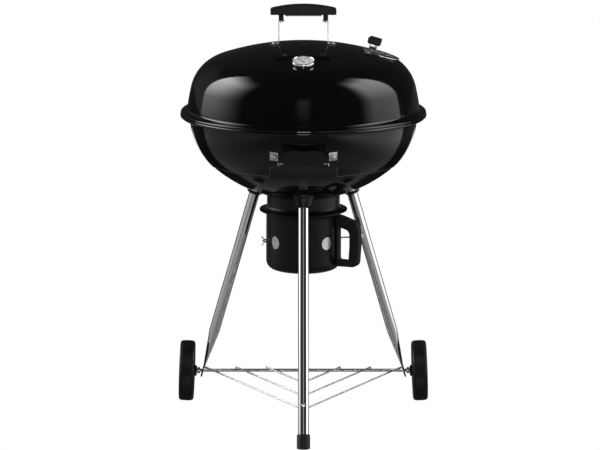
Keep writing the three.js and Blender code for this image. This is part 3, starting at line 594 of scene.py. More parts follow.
# Crown, shoulder and wall: each arc's radius, and the angle from the pole that the first two turn to.
LID_ARCS = ((660, 18.3), (100, 77.1), 635)
BOWL_ARCS = ((345, 39.3), (147, 63.3), 195.6)
LID_POLE, LID_EDGE = 930.8, 775
BOWL_POLE, BOWL_EDGE = 547.6, 750
LEDGE, LEDGE_HALF, LEDGE_STEP = 640, 1.4, 2.2


def ease(t):
    """A smooth step from 0 to 1."""
    return t * t * (3 - 2 * t)


def radius_at(outline, height):
    """The outline's radius at a height."""
    for (r0, z0), (r1, z1) in zip(outline, outline[1:]):
        if (z0 - height) * (z1 - height) <= 0 and z0 != z1:
            return r0 + (r1 - r0) * (height - z0) / (z1 - z0)
    raise ValueError("the outline doesn't reach that height")


def bowl_surface(grow):
    """The bowl's surface from its pole to under the rim, with the pressed ledge."""
    smooth = dome(BOWL_POLE, 1, BOWL_ARCS, BOWL_EDGE, grow)
    edge = radius_at(smooth, LEDGE)
    shrink = (edge - LEDGE_STEP) / edge
    below = [(r * shrink, z) for r, z in smooth if z < LEDGE - 2]
    above = [(r, z) for r, z in smooth if z > LEDGE + 2]
    ramp = []
    for t in (k / 8 for k in range(9)):
        r = edge - LEDGE_STEP + LEDGE_STEP * ease(t)
        ramp.append((r, LEDGE - LEDGE_HALF + 2 * LEDGE_HALF * t))
    return below + ramp + above


def on_lid(radius, azimuth):
    """A frame on the lid's crown."""
    crown = LID_ARCS[0][0]
    slope = math.asin(radius / crown)
    origin = polar(radius, azimuth, LID_POLE - crown + math.sqrt(crown**2 - radius**2))
    return frame_at(origin, polar(math.sin(slope), azimuth, math.cos(slope)), polar(1, azimuth))


def on_bowl(azimuth, height):
    """A frame on the bowl's outer wall."""
    outer = bowl_surface(0)
    slope = (radius_at(outer, height + 4) - radius_at(outer, height - 4)) / 8
    return frame_at(
        polar(radius_at(outer, height), azimuth, height), polar(1, azimuth, -slope), Vector((1, 0, 0))
    )


FOOT_REACH, LEG_SLOPE, LEG_TOP = 317, 0.325, 570.0
LEAN = math.atan(LEG_SLOPE)


def leg_reach(height):
    """Distance of a leg's centre line from the kettle's axis."""
    return FOOT_REACH - LEG_SLOPE * height


CAMBER = math.radians(2)
WHEEL_RADIUS, TREAD_HALF = 76, 13.5
AXLE_HEIGHT = WHEEL_RADIUS * math.cos(CAMBER) + TREAD_HALF * math.sin(CAMBER)
AXLE_Y = leg_reach(AXLE_HEIGHT) * 0.5


def leg_frame(azimuth):
    """The frame of a leg: its origin at the tube's top end, Z up along the tube, X outwards."""
    along = polar(-math.sin(LEAN), azimuth, math.cos(LEAN))
    return frame_at(polar(leg_reach(LEG_TOP), azimuth, LEG_TOP), along, polar(1, azimuth))


# ---------------------------------------------------------------- the pieces


class GRILL_OT_bowl(bpy.types.Operator):
    """Bowl with its rolled rim, pressed ledge, ash holes and grate rests"""

    bl_idname = "grill.bowl"
    bl_label = "Bowl"
    bl_options = {"UNDO"}

    def execute(self, context):
        kettle = context.scene.kettle
        inner = bowl_surface(-kettle.sheet / MM)
        wall = inner[-1][0]
        top, turn, bead = 761, 9, 5
        rim = arc(wall + turn, top - turn, turn, 180, 90, 8)[1:] + arc(295, top - bead, bead, 90, -150, 20)
        shape = Shape().lathe(thicken(inner + rim, -kettle.sheet / MM), kettle.round_steps)
        rest_z = 738
        rest_r = radius_at(inner, rest_z) + 0.8
        for azimuth in CORNERS:
            place = Matrix.Translation(polar(rest_r, azimuth, rest_z))
            place = place @ Matrix.Rotation(math.radians(azimuth), 4, "Z")
            shape.block((-13.5, -11, -1), (0, 11, 1), place, 0.4)
        holes = [(17, 17, Matrix.Translation(polar(50, k * 60, BOWL_POLE))) for k in range(6)]
        holes.append((15, 15, Matrix.Translation((0, 0, BOWL_POLE))))
        shape.done("bowl_look", "bowl_enamel", "stand", "bowl", smooth=50, cutters=holes)
        return {"FINISHED"}


class GRILL_OT_grates(bpy.types.Operator):
    """Cooking grate and charcoal grate, each a ring of wire with rods and two bars under them"""

    bl_idname = "grill.grates"
    bl_label = "Grates"
    bl_options = {"UNDO"}

    def execute(self, context):
        for name, radius, wire, height, rods, pitch, bars in (
            ("cooking_grate", 268, 2.5, 742.4, 17, 31, 95),
            ("charcoal_grate", 229.5, 3.0, 643.5, 13, 33, 80),
        ):
            turns = [math.tau * k / 12 for k in range(12)]
            ring = [(radius + wire * math.cos(a), height + wire * math.sin(a)) for a in turns]
            shape = Shape().lathe(ring, 128)
            for i in range(rods):
                x = (i - (rods - 1) / 2) * pitch
                reach = math.sqrt(radius**2 - x**2)
                shape.tube([(x, -reach, height), (x, reach, height)], wire * 0.8, 10)
            low = height - wire * 1.2
            for y in (-bars, bars):
                reach = math.sqrt(radius**2 - y**2) - 2 * wire
                shape.tube([(-reach, y, low), (reach, y, low)], wire * 0.9, 10)
            shape.done(f"{name}_look", "wire", name, name, smooth=60)
        return {"FINISHED"}


VENT_REACH = 189


def vent_holes(place):
    """The four round holes under the lid's vent, which its damper has too."""
    return [(9.5, 9.5, place @ Matrix.Translation(polar(27, azimuth))) for azimuth in CORNERS]


class GRILL_OT_lid(bpy.types.Operator):
    """Domed lid with its flange, turned-down lip and vent holes"""

    bl_idname = "grill.lid"
    bl_label = "Lid"
    bl_options = {"UNDO"}

    def execute(self, context):
        kettle = context.scene.kettle
        outer = dome(LID_POLE, -1, LID_ARCS, LID_EDGE)
        wall, edge = outer[-1]
        turn, lip = 8, 5
        flange = arc(wall + turn, edge, turn, 180, 270, 10) + arc(294, edge - turn - lip, lip, 90, 0, 10)
        line = outer[:-1] + flange + [(299, 760.7)]
        shape = Shape().lathe(thicken(line, -kettle.sheet / MM), kettle.round_steps)
        shape.done("lid_look", "enamel", "lid", "lid", smooth=50, cutters=vent_holes(on_lid(VENT_REACH, 0)))
        return {"FINISHED"}


BOSS_REACH, BOLT_REACH, BOWL_HANDLE_HEIGHT = 54, 69.5, 695


def grip(name, place, body, node):
    """A moulded grip with finger ridges under it, on two round bosses."""
    half, low, end, middle, ridges = 80, 69, 84.2, 94.2, 12
    rise = middle - end
    big = (half**2 + rise**2) / (2 * rise)
    outline = [(-half, low), (half, low), (half, end - 2)]
    for i in range(17):
        x = (half - 3) * (1 - i / 8)
        outline.append((x, middle - big + math.sqrt(big**2 - x**2)))
    outline.append((-half, end - 2))
    upright = place @ Matrix.Rotation(math.radians(90), 4, "X")
    shape = Shape().slab(soften(outline, 2.5, 3), -13, 13, upright, edge=3.4, segments=4)
    for i in range(ridges):
        x = (i - (ridges - 1) / 2) * 7.3
        shape.bar(3.6, -10.5, 10.5, 16, upright @ Matrix.Translation((x, low - 0.1, 0)), edge=1.5)
    for side in (-1, 1):
        boss = place @ Matrix.Translation((side * BOSS_REACH, 0, 0))
        shape.bar(6, low - 13.8, low + 4, 24, boss, edge=0.8)
    shape.done(name, "plastic", body, node, smooth=40)


def strap(handle, name, side, place, heel_z, toe_z, body):
    """A strap of sheet steel: flange under the boss, upright web, foot turned outwards."""
    run = [(46.5, 53.9), (59.5, 53.9), (59.5, heel_z), (79.5, toe_z)]
    bent = [tuple(point) for point in rounded(run, 3, 4)]
    far = [(side * x, z) for x, z in thicken(bent, 1)[len(bent):]]
    near = [(side * x, z) for x, z in thicken(bent, -1)[len(bent):]]
    upright = place @ Matrix.Rotation(math.radians(90), 4, "X")
    shape = Shape().slab(far[::-1] + near, -11, 11, upright, edge=0.4, segments=2)
    shape.done(f"{handle}_strap_{name}_look", "plated", body, f"{handle}_handle_strap_{name}", smooth=40)


def dome_head(shape, radius, low, height, matrix):
    """A low domed bolt head."""
    brim = 0.6
    outline = [(0, low), (radius - 0.4, low), (radius, low + 0.4)]
    for a in (math.radians(9 * k) for k in range(10)):
        outline.append((radius * math.cos(a), low + brim + (height - brim) * math.sin(a)))
    outline.append((0, low + height))
    return shape.lathe(outline, 28, matrix)


def foot_bolt(handle, name, place, body):
    """The bolt through a strap's foot, with its nut inside the shell."""
    shape = dome_head(Shape(), 6.5, 2.4, 3.6, place)
    shape.bar(3, -6, 3, 16, place).bar(6.2, -5.2, -2.2, 6, place, edge=0.3)
    shape.done(f"{handle}_bolt_{name}_look", "plated", body, f"{handle}_handle_bolt_{name}")


class GRILL_OT_handles(bpy.types.Operator):
    """The lid handle and the bowl handle, with their straps and foot bolts"""

    bl_idname = "grill.handles"
    bl_label = "Handles"
    bl_options = {"UNDO"}

    def execute(self, context):
        lid_place = Matrix.Translation((0, 0, LID_POLE))
        wall = radius_at(bowl_surface(0), BOWL_HANDLE_HEIGHT)
        dip = math.radians(15.5)
        outward = polar(math.cos(dip), -90, -math.sin(dip))
        bowl_place = frame_at(polar(wall, -90, BOWL_HANDLE_HEIGHT), outward, Vector((1, 0, 0)))
        swing = math.degrees(math.asin(BOLT_REACH / wall))
        grip("lid_grip_look", lid_place, "lid", "lid_handle_grip")
        grip("bowl_grip_look", bowl_place, "stand", "bowl_handle_grip")
        for name, side in SIDES:
            strap("lid", name, side, lid_place, -1.3, -3.4, "lid")
            strap("bowl", name, side, bowl_place, -5.0, -10.6, "stand")
            foot_bolt("lid", name, on_lid(BOLT_REACH, 90 - 90 * side), "lid")
            foot_bolt("bowl", name, on_bowl(-90 + side * swing, BOWL_HANDLE_HEIGHT), "stand")
        return {"FINISHED"}


class GRILL_OT_vent(bpy.types.Operator):
    """The lid's round damper with its tab, knob and rivet"""

    bl_idname = "grill.vent"
    bl_label = "Lid vent"
    bl_options = {"UNDO"}

    def execute(self, context):
        place = on_lid(VENT_REACH, 0)
        radius, base, dish = 46, 1.9, 560
        radii = [radius * k / 12 for k in range(13)]
        low = [(r, base - dish + math.sqrt(dish**2 - r * r)) for r in radii]
        high = [(r, z + 1.2) for r, z in low]
        high[-1] = (radius - 0.4, high[-1][1])
        edge = [(radius, low[-1][1] + 0.8)]
        plate = Shape().lathe(low + edge + high[::-1], 96, place)
        plate.block((-31.5, 29, base - 1.5), (-12.5, 30.2, 18.5), place, 0.3)
        plate.done("damper_look", "plated", "lid_damper", "lid_damper", cutters=vent_holes(place))
        x, z = -40, 12
        outline = [(x + 2, z), (x + 31, z), (x + 34, z + 4), (x + 34, z + 20), (x + 6, z + 20), (x, z + 13)]
        upright = place @ Matrix.Translation((0, 29.6, 0)) @ Matrix.Rotation(math.radians(90), 4, "X")
        knob = Shape().slab(soften(outline, 3), -4, 4, upright, edge=1.4, segments=3)
        knob.done("damper_knob_look", "plastic", "lid_damper", "lid_damper_knob")
        rivet = dome_head(Shape(), 5, base + 1.5, 1.8, place)
        rivet.bar(2.4, -4.6, base + 2, 16, place).bar(4.5, -4.4, -2.2, 24, place)
        rivet.done("damper_rivet_look", "plated", "lid", "lid_damper_rivet")
        return {"FINISHED"}


class GRILL_OT_thermometer(bpy.types.Operator):
    """The dial thermometer in the lid"""

    bl_idname = "grill.thermometer"
    bl_label = "Thermometer"
    bl_options = {"UNDO"}

    def execute(self, context):
        place = on_lid(177, -90)
        radius, height, face = 28, 9, 6
        first, step, ticks = 225, 10, 28
        cup = [
            (0, 0.8), (radius - 5, 0.8), (radius - 4.4, 2.2), (radius - 0.8, 3.0), (radius, 3.8),
            (radius, height - 1.4), (radius - 0.5, height - 0.4), (radius - 1.6, height),
            (radius - 2.8, height - 0.3), (radius - 3.5, height - 1.4), (radius - 3.6, face - 3),
            (0, face - 3),
        ]
        case = Shape().lathe(cup, 96, place).bar(3, -58, 1.2, 20, place)
        case.done("thermometer_case_look", "polished", "lid", "thermometer_case", smooth=30)
        dial = Shape().bar(24, face - 2.7, face - 1.9, 64, place, edge=0.2)
        dial.done("thermometer_dial_look", "dial", "lid", "thermometer_dial")
        marks = Shape()
        for i in range(ticks):
            tick = place @ Matrix.Rotation(math.radians(first - i * step), 4, "Z")
            start = 17 if i % 3 == 0 else 19.4
            marks.block((start, -0.4, face - 2), (22, 0.4, face - 1.75), tick, 0.05, 1)
        band = [(14.6, face - 2), (15.6, face - 2), (15.6, face - 1.8), (14.6, face - 1.8)]
        marks.lathe(band, 64, place)
        marks.done("thermometer_marks_look", "ink", "lid")
        needle = place @ Matrix.Rotation(math.radians(first), 4, "Z")
        outline = [(-4, -1.0), (2, -1.2), (18, -0.3), (18, 0.3), (2, 1.2), (-4, 1.0)]
        hand = Shape().slab(outline, face - 1.5, face - 0.9, needle, 0.1, 1)
        hand.bar(2.4, face - 1.5, face - 0.5, 24, needle, 0.2)
        hand.done("thermometer_needle_look", "ink", "thermometer_needle", "thermometer_needle")
        rim = 23.9
        glass = [(0, face + 0.3), (rim, face + 0.3), (rim + 0.2, face + 0.6), (rim, face + 1.4)]
        for k in range(1, 10):
            glass.append((rim - 2.4 * k, face + 1.4 + 0.7 * math.sin(math.radians(9 * k))))
        glass.append((0, face + 2.1))
        Shape().lathe(glass, 64, place).done("thermometer_lens_look", "lens", "lid", "thermometer_lens")
        return {"FINISHED"}


POT_RADIUS, POT_BRIM, POT_SHEET = 91.6, 107.5, 1.2
AIR_HOLE_HEIGHT, ROD_HEIGHT = 447, 444


def flare(wall_r, wall_z, tip_z, steps=14):
    """A hollow flare out to the brim: it leaves the wall upright and ends level at the tip."""
    wide, tall = POT_BRIM - wall_r, tip_z - wall_z
    angles = [math.radians(90 * k / steps) for k in range(steps + 1)]
    return [(wall_r + wide * (1 - math.cos(a)), wall_z + tall * math.sin(a)) for a in angles]


def across(azimuth, height, reach=0):
    """A matrix whose Z points outwards, at a height and a distance from the kettle's axis."""
    turn = Matrix.Rotation(math.radians(azimuth), 4, "Z") @ Matrix.Rotation(math.radians(90), 4, "Y")
    return Matrix.Translation((0, 0, height)) @ turn @ Matrix.Translation((0, 0, reach))


def air_holes(first):
    """Four round air holes round the ash pot's wall."""
    return [(16, 16, across(first + 90 * k, AIR_HOLE_HEIGHT, 92)) for k in range(4)]


def damper_rod(azimuth, end, look, rod):
    """A bolt that stands out of the damper band through a slot in the pot."""
    along = across(azimuth, ROD_HEIGHT)
    bolt = Shape().bar(2, 86.5, end, 20, along, 0.4).bar(4.5, 84.6, 87.4, 24, along, 0.5)
    bolt.done(look, "plated", "ash_damper", rod)


def wing_nut(azimuth, reach, look, nut):
    """A wing nut on a damper rod."""
    seat = across(azimuth, ROD_HEIGHT, reach)
    side = [(4.6, 5), (8.5, 7.6), (11.8, 12.2), (10.6, 14), (8.6, 13.4), (5.6, 9.4), (3.4, 7.8)]
    wing = [(-4.5, 0), (4.5, 0), *side, *((-x, z) for x, z in side[::-1])]
    flat = seat @ Matrix.Rotation(math.radians(90), 4, "X")
    made = Shape().slab(soften(wing, 1.0, 2), -1.3, 1.3, flat, 0.6, 2)
    made.bar(4.8, 0, 6.4, 24, seat, 0.8, 4.2)
    made.done(look, "plated", nut, nut, smooth=40)


def pot_handle():
    """The moulded D-shaped handle of the ash pot."""
    outline = [
        (92.2, 386), (138, 387), (146, 391), (149.5, 399), (152.5, 440), (152.5, 466), (150, 485),
        (146, 495), (140, 500), (104, 511.5), (96, 512.5), (93, 508.5), (92.2, 503),
    ]
    gap = [
        (97.5, 402), (122, 402), (125.5, 406), (127.5, 440), (127.5, 468), (124, 476), (116, 480),
        (97.5, 484),
    ]
    turn = Matrix.Rotation(math.radians(-25), 4, "Z") @ Matrix.Rotation(math.radians(90), 4, "X")
    handle = Shape().slab(soften(outline, 7, 4), -9, 9, turn, 3.2, 4, holes=[soften(gap, 6, 4)])
    handle.done("pot_handle_look", "plastic", "ash_pot", "ash_pot_handle", smooth=45)


class GRILL_OT_ash_catcher(bpy.types.Operator):
    """Collar, ash pot, damper band, wing nuts and pot handle"""

    bl_idname = "grill.ash_catcher"
    bl_label = "Ash catcher"
    bl_options = {"UNDO"}

    def execute(self, context):
        steps = context.scene.kettle.round_steps * 2 // 3
        collar_r = 89.5
        line = [(collar_r, 559), (collar_r, 546)] + flare(collar_r, 533, 521.35)
        collar = Shape().lathe(thicken(line, -POT_SHEET), steps)
        collar.done("collar_look", "satin", "stand", "ash_collar", smooth=40)
        floor_z, turn = 372, 22
        line = [(0, floor_z), (30, floor_z)] + arc(POT_RADIUS - turn, floor_z + turn, turn, -90, 0, 14)
        pot = Shape().lathe(thicken(line + flare(POT_RADIUS, 507, 518.65), POT_SHEET), steps)
        slots = [(22.5, 3, across(azimuth, ROD_HEIGHT, 92)) for azimuth in (0, 180)]
        pot.done("ash_pot_look", "satin", "ash_pot", "ash_pot", smooth=40, cutters=air_holes(-50.4) + slots)
        sheet = [(88.9, 422), (89.8, 422), (89.8, 472), (88.9, 472)]
        band = Shape().lathe(soften(sheet, 0.2, 1), steps)
        band.done("damper_band_look", "plated", "ash_damper", "ash_damper_band", cutters=air_holes(-26.4))
        damper_rod(192, 103.4, "clamp_rod_look", "damper_clamp_bolt")
        wing_nut(192, 92.4, "wing_nut_left_look", "wing_nut_left")
        damper_rod(12, 151, "lever_rod_look", "damper_lever_rod")
        wing_nut(12, 141, "wing_nut_right_look", "wing_nut_right")
        pot_handle()
        return {"FINISHED"}


def tube_outline(radius, stations):
    """The closed outline of a leg's hollow tube."""
    inside = radius - 1.2
    return [(radius, z) for z in stations] + [(inside, z) for z in reversed(stations)]


def leg_socket(name, azimuth, radius):
    """A socket pressed up against the bowl, which the leg's tube goes into."""
    under = bowl_surface(0.3)

    def below_bowl(point):
        r = math.hypot(point.x, point.y)
        for (r0, z0), (r1, z1) in zip(under, under[1:]):
            if r0 <= r <= r1 and r1 > r0:
                point.z = min(point.z, z0 + (z1 - z0) * (r - r0) / (r1 - r0) - 0.2)
                break
        return point

    bore, neck, top = radius + 0.3, 20.5, 29.5
    shell = [(bore, -23), (17, -23), (18, -22.4), (neck, -19)]
    for t in (k / 10 for k in range(1, 11)):
        shell.append((neck + (top - neck) * ease(t), -19 + 41 * t))
    shell += [(top, 26), (top, 34), (bore, 34)]
    shape = Shape().lathe(shell, 64, leg_frame(azimuth)).reshape(below_bowl)
    shape.done(f"leg_socket_{name}_look", "satin", "stand", f"leg_socket_{name}", smooth=40)


def front_leg(radius):
    """The front tube and the plastic foot under it, cut level with the floor."""
    place = leg_frame(LEG_AZIMUTHS["front"])
    length = (LEG_TOP - 7) / math.cos(LEAN)
    stations = [-length, -length * 0.66, -length * 0.33, -0.6]
    tube = Shape().lathe(tube_outline(radius, stations), 96, place)
    tube.done("leg_front_look", "polished", "stand", "leg_front", smooth=40)
    bore, wall = radius + 0.3, radius + 3
    cap = [
        (0, -length - 14), (wall, -length - 14), (wall, -length + 22), (wall - 0.6, -length + 24.4),
        (bore + 0.5, -length + 25), (bore, -length + 24.4), (bore, -length - 0.3), (0, -length - 0.3),
    ]

    def on_floor(point):
        point.z = max(point.z, 0.0)
        return point

    foot = Shape().lathe(cap, 64, place).reshape(on_floor)
    foot.done("front_foot_look", "plastic", "stand", "front_foot")


def rear_leg(name, radius):
    """A tube pressed flat at its lower end, with a rounded tip round the axle."""
    place = leg_frame(LEG_AZIMUTHS[name])
    along = place.col[2].to_3d()
    across_axle = (Vector((1, 0, 0)) - along * along.x).normalized()
    flat = frame_at(place.translation, along, across_axle)
    to_axle = (LEG_TOP - AXLE_HEIGHT) / math.cos(LEAN)
    start, end, tip = to_axle - 112, to_axle - 12, 17
    stations = [0.6] + [start + (end - start) * k / 14 for k in range(15)] + [to_axle]
    stations += [to_axle + tip * math.sin(math.radians(k * 9)) for k in range(1, 11)]
    shape = Shape().lathe(tube_outline(radius, [-s for s in reversed(stations)]), 72)

    def press(point):
        down = -point.z
        t = min(max((down - start) / (end - start), 0.0), 1.0)
        over = min(max((down - to_axle) / tip, 0.0), 0.97)
        r = math.hypot(point.x, point.y)
        thick, wide = (2.0, 18.5) if r > radius - 0.6 else (0.8, 17.3)
        point.x *= 1 + t * (thick / r - 1)
        point.y *= (1 + t * (wide / r - 1)) * math.sqrt(1 - over * over)
        return point

    shape.reshape(press).reshape(lambda point: flat @ point)
    shape.done(f"leg_{name}_look", "polished", "stand", f"leg_{name}", smooth=40)


class GRILL_OT_legs(bpy.types.Operator):
    """Leg sockets, the three legs and the front foot"""

    bl_idname = "grill.legs"
    bl_label = "Legs"
    bl_options = {"UNDO"}

    def execute(self, context):
        radius = context.scene.stand.tube_radius / MM
        for name, azimuth in LEG_AZIMUTHS.items():
            leg_socket(name, azimuth, radius)
        front_leg(radius)
        for name in ("left", "right"):
            rear_leg(name, radius)
        return {"FINISHED"}


def wheel(name, side):
    """A moulded wheel: hub, web, spokes on its outer face, and a ribbed tread."""
    outward = Vector((side * math.cos(CAMBER), 0, math.sin(CAMBER)))
    place = frame_at(Vector((side * 292.8, AXLE_Y, AXLE_HEIGHT)), outward, Vector((0, 1, 0)))
    half, bore, hub, web = 18.5, 5.1, 15, 54
    outline = [(bore, -half - 6), (12.4, -half - 6), (13, -half - 5.4), (hub, -half + 2), (web, -half + 2)]
    outline += [(59, -half), (69, -half), (72.4, -half + 0.9), (74.4, -half + 3.4)]
    for a in (math.radians(k * 15) for k in range(-6, 7)):
        outline.append((WHEEL_RADIUS - 1.2 + 1.2 * math.cos(a), 13.4 * math.sin(a)))
    outline += [(74.4, half - 3.4), (72.4, half - 0.9), (69, half), (60, half), (web, half - 3)]
    outline += [(hub, half - 3), (hub, half - 10), (bore, half - 10)]
    made = Shape().lathe(outline, 180)
    rib_degrees, groove = 2, 0.9
    for v in made.bm.verts:
        r = math.hypot(v.co.x, v.co.y)
        if r > 74.6 and round(math.degrees(math.atan2(v.co.y, v.co.x)) / rib_degrees) % 2:
            v.co.x *= 1 - groove / r
            v.co.y *= 1 - groove / r
    for k in range(8):
        spoke = Matrix.Rotation(math.tau * k / 8, 4, "Z")
        made.block((hub - 1, -1.6, half - 4), (web + 2, 1.6, half - 0.8), spoke, 0.6)
    made.reshape(lambda point: place @ point)
    made.done(f"wheel_{name}_look", "tread", f"wheel_{name}", f"wheel_{name}", smooth=28)


class GRILL_OT_wheels(bpy.types.Operator):
    """Axle, spacers, nuts and the two moulded wheels"""

    bl_idname = "grill.wheels"
    bl_label = "Wheels"
    bl_options = {"UNDO"}

    def execute(self, context):
        centre = Vector((0, AXLE_Y, AXLE_HEIGHT))
        along = Matrix.Translation(centre) @ Matrix.Rotation(math.radians(90), 4, "Y")
        half_length, bore, outer = 308.3, 4.3, 8
        Shape().bar(4, -half_length, half_length, 32, along, 0.8).done("axle_look", "wire", "stand", "axle")
        for name, side in SIDES:
            wheel(name, side)
            outward = frame_at(centre, Vector((side, 0, 0)), Vector((0, 1, 0)))
            for look, node, low, high, edge, steps in (
                ("spacer", "axle_spacer", 260.6, 267.2, 0.6, 40),
                ("axle_nut", "axle_nut", 302.4, 306.7, 0.5, 6),
            ):
                sleeve = soften([(bore, low), (outer, low), (outer, high), (bore, high)], edge, 2)
                made = Shape().lathe(sleeve, steps, outward)
                made.done(f"{look}_{name}_look", "plated", "stand", f"{node}_{name}")
        return {"FINISHED"}


class GRILL_OT_rack(bpy.types.Operator):
    """The wire rack between the legs, hooked over the axle and screwed to the front leg"""

    bl_idname = "grill.rack"
    bl_label = "Wire rack"
    bl_options = {"UNDO"}

    def execute(self, context):
        wire = context.scene.stand.rack_wire / MM
        height, spread, outer = 83.2, 77, 243.5
        apex_y = -leg_reach(height) + 13 / math.cos(LEAN) + wire
        slope = (AXLE_Y - apex_y) / outer
        shape = Shape()
        for i in range(3):
            half = outer - i * spread
            left, right = (
                [
                    (side * (half + 3), AXLE_Y + 8, height - 10),
                    (side * (half + 3), AXLE_Y + 7, height),
                    (side * half, AXLE_Y, height),
                ]
                for side in (-1, 1)
            )
            apex = (0, AXLE_Y - slope * half, height)
            shape.tube(rounded([*left, apex, *right[::-1]], 3), wire, 12)
        bar_y, low = AXLE_Y - 16, height - wire * 1.8
        reach = outer - 16 / slope
        shape.tube([(-reach, bar_y, low), (reach, bar_y, low)], wire, 12)
        drop = (LEG_TOP - height - 12.5) / math.cos(LEAN)
        tab = leg_frame(-90) @ Matrix.Translation((0, 0, -drop)) @ Matrix.Rotation(math.radians(90), 4, "Y")
        shape.block((-8, -8, -15.3), (12, 8, -13.3), tab, 0.5)
        shape.done("rack_look", "wire", "stand", "wire_rack", smooth=60)
        return {"FINISHED"}


class GRILL_OT_fasteners(bpy.types.Operator):
    """Finishes for the small bolts, screws and nuts that keep their CAD shape"""

    bl_idname = "grill.fasteners"
    bl_label = "Fasteners"
    bl_options = {"UNDO"}

    def execute(self, context):
        for name, node in CAD_NODES.items():
            if not node.hide_render:
                finish = "blackened" if name.startswith("leg_screw") else "plated"
                node.data.materials.clear()
                node.data.materials.append(MATERIALS[finish])
        return {"FINISHED"}


# ---------------------------------------------------------------- studio


def glow(name, strength_of):
    """A glowing finish. Its strength is made from the object coordinate and from what the camera sees."""
    made = bpy.data.materials.new(name)
    made.use_nodes = True
    tree = made.node_tree
    tree.nodes.clear()
    at = Socket(tree, tree.nodes.new("ShaderNodeTexCoord").outputs["Object"])
    seen = Socket(tree, tree.nodes.new("ShaderNodeLightPath").outputs["Is Camera Ray"])
    emission = at.node("ShaderNodeEmission", {"Strength": strength_of(at, seen)})
    out = tree.nodes.new("ShaderNodeOutputMaterial")
    tree.links.new(emission.output, out.inputs["Surface"])
    return made


def staged(name, bm, finish):
    """A stage object from a mesh."""
    mesh = bpy.data.meshes.new(name)
    bm.to_mesh(mesh)
    bm.free()
    made = bpy.data.objects.new(name, mesh)
    bpy.context.scene.collection.objects.link(made)
    mesh.materials.append(finish)
    return made


def pale_floor():
    """A floor that the camera sees white, and that the grill reflects as a darker, uneven one."""
    bm = bmesh.new()
    bmesh.ops.create_circle(bm, segments=96, radius=30.0, cap_ends=True)

    def strength(at, seen):
        x, y = at.part(0), at.part(1)
        sideways = x.size()
        reach = at.node("ShaderNodeVectorMath", {0: at}, result=1, operation="LENGTH")
        near = 0.17 + reach.clamp(0.38, 0.62) * 0.13 - reach.clamp(0.7, 1.6) * 0.16
        sides = sideways.clamp(0.8, 2.0) * (0.26 + x.clamp(0.0, 1.5) * 0.7)
        shade = 1.0 - (y - sideways * 0.5).clamp(0.05, 0.2) * reach.clamp(0.45, 0.7) * 0.94
        far = reach.clamp(1.9, 2.2) * (1.0 - reach.clamp(3.0, 3.6))
        behind = (y - sideways * 2.0).clamp(0.3, 0.6) * far * 1.4
        dim = (near + sides) * shade + behind
        return seen * (1.0 - dim) + dim

    staged("floor", bm, glow("pale_floor", strength))


def soft_boxes(power):
    """White behind the object; round it, two soft boxes of light at the sides and dark elsewhere."""
    world = bpy.data.worlds.new("studio")
    world.use_nodes = True
    tree = world.node_tree
    tree.nodes["Background"].inputs["Color"].default_value = (1, 1, 1, 1)
    way = Socket(tree, tree.nodes.new("ShaderNodeTexCoord").outputs["Generated"])
    seen = Socket(tree, tree.nodes.new("ShaderNodeLightPath").outputs["Is Camera Ray"])
    x, y, up = (way.part(axis) for axis in range(3))
    # Degrees round from the front, with the right-hand side positive.
    angle = x.node("ShaderNodeMath", {0: x, 1: y * -1.0}, operation="ARCTAN2") * math.degrees(1)
    left = angle.clamp(-123, -120) * (1.0 - angle.clamp(-108, -62)) * (1.0 - up.clamp(0.64, 0.87))
    left = left * up.clamp(-0.2, 0.85) * 7.5
    right = angle.clamp(58, 80) * (1.0 - angle.clamp(109, 112)) * (1.0 - up.clamp(0.75, 0.93))
    right = right * (up.clamp(0.0, 0.8) * 3.0 + 1.0)
    middle = (1.0 - angle.size().clamp(2, 10)) * up.clamp(0.1, 0.3) * (1.0 - up.clamp(0.36, 0.56)) * 0.4
    spill = angle.clamp(-165, -122) * (1.0 - angle.clamp(-123, -120)) * (1.0 - up.clamp(0.45, 0.62))
    dim = (left + right) * power + middle + spill * 0.15 + 0.03
    strength = seen * (1.0 - dim) + dim
    tree.links.new(strength.output, tree.nodes["Background"].inputs["Strength"])
    bpy.context.scene.world = world


def rim_strip():
    """A narrow panel bent round the front, for the highlight on the rim."""
    reach, half_width, low, high, power, steps = 3.0, 5.6, 0.46, 0.76, 24.0, 32
    bm = bmesh.new()
    angles = [math.radians(-half_width + 2 * half_width * k / steps) for k in range(steps + 1)]
    edge = [bm.verts.new((reach * math.sin(a), -reach * math.cos(a), low)) for a in angles]
    foot = [bm.edges.new(pair) for pair in zip(edge, edge[1:])]
    raised = bmesh.ops.extrude_edge_only(bm, edges=foot)["geom"]
    tops = [g for g in raised if isinstance(g, bmesh.types.BMVert)]
    bmesh.ops.translate(bm, verts=tops, vec=(0, 0, high - low))
    strip = staged("strip_rim", bm, glow("strip_rim", lambda at, seen: power))
    strip.visible_camera = False


def camera(lens):
    """A long lens in front of the object, a little above it and tipped down."""
    scene = bpy.context.scene
    made = bpy.data.objects.new("camera", bpy.data.cameras.new("camera"))
    scene.collection.objects.link(made)
    made.data.lens = lens
    made.location = Vector((-0.0083, -8.0, 2.0982)) + POLE_AXIS
    made.rotation_euler = (math.radians(78.56), 0, 0)
    scene.camera = made
    scene.view_settings.view_transform = "Standard"


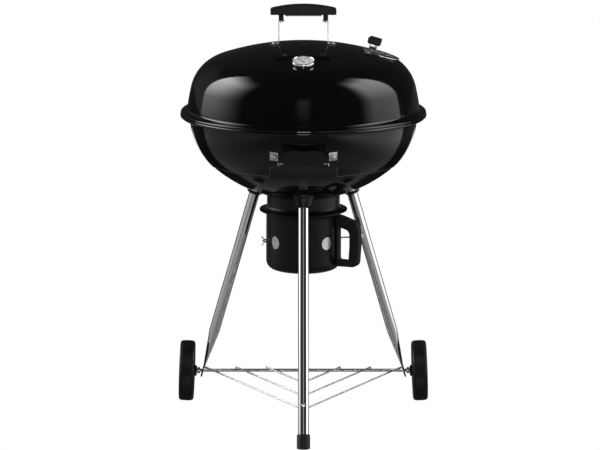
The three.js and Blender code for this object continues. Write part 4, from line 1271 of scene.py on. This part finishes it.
class GRILL_OT_studio(bpy.types.Operator):
    """Pale floor, soft lights and the camera"""

    bl_idname = "grill.studio"
    bl_label = "Studio"
    bl_options = {"UNDO"}

    def execute(self, context):
        studio = context.scene.studio
        pale_floor()
        soft_boxes(studio.box_power)
        rim_strip()
        camera(studio.lens)
        return {"FINISHED"}


# ---------------------------------------------------------------- add-on

BUILD_ORDER = (
    GRILL_OT_bowl, GRILL_OT_grates, GRILL_OT_lid, GRILL_OT_handles, GRILL_OT_vent, GRILL_OT_thermometer,
    GRILL_OT_ash_catcher, GRILL_OT_legs, GRILL_OT_wheels, GRILL_OT_rack, GRILL_OT_fasteners, GRILL_OT_studio,
)


class GRILL_PT_panel(bpy.types.Panel):
    """Sizes and buttons for the grill"""

    bl_idname = "GRILL_PT_panel"
    bl_label = "Kettle Grill"
    bl_space_type = "VIEW_3D"
    bl_region_type = "UI"
    bl_category = "Kettle Grill"

    def draw(self, context):
        for group in (context.scene.kettle, context.scene.stand, context.scene.studio):
            box = self.layout.box()
            for name in group.__annotations__:
                box.prop(group, name)
        for operator in BUILD_ORDER:
            self.layout.operator(operator.bl_idname)


CLASSES = (KettleSettings, StandSettings, StudioSettings, *BUILD_ORDER, GRILL_PT_panel)


def register():
    for cls in CLASSES:
        bpy.utils.register_class(cls)
    bpy.types.Scene.kettle = bpy.props.PointerProperty(type=KettleSettings)
    bpy.types.Scene.stand = bpy.props.PointerProperty(type=StandSettings)
    bpy.types.Scene.studio = bpy.props.PointerProperty(type=StudioSettings)


def unregister():
    for name in ("kettle", "stand", "studio"):
        delattr(bpy.types.Scene, name)
    for cls in reversed(CLASSES):
        bpy.utils.unregister_class(cls)


def main():
    corners = [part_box(name) for name in CAD_NODES]
    cad = [[f(corner[end][axis] for corner in corners) for axis in range(3)] for end, f in ((0, min), (1, max))]
    register()
    make_materials()
    for cls in BUILD_ORDER:
        group, name = cls.bl_idname.split(".")
        if getattr(getattr(bpy.ops, group), name)() != {"FINISHED"}:
            raise RuntimeError(f"{cls.bl_label} did not finish")
    bpy.context.view_layer.update()


if __name__ == "__main__":
    main()
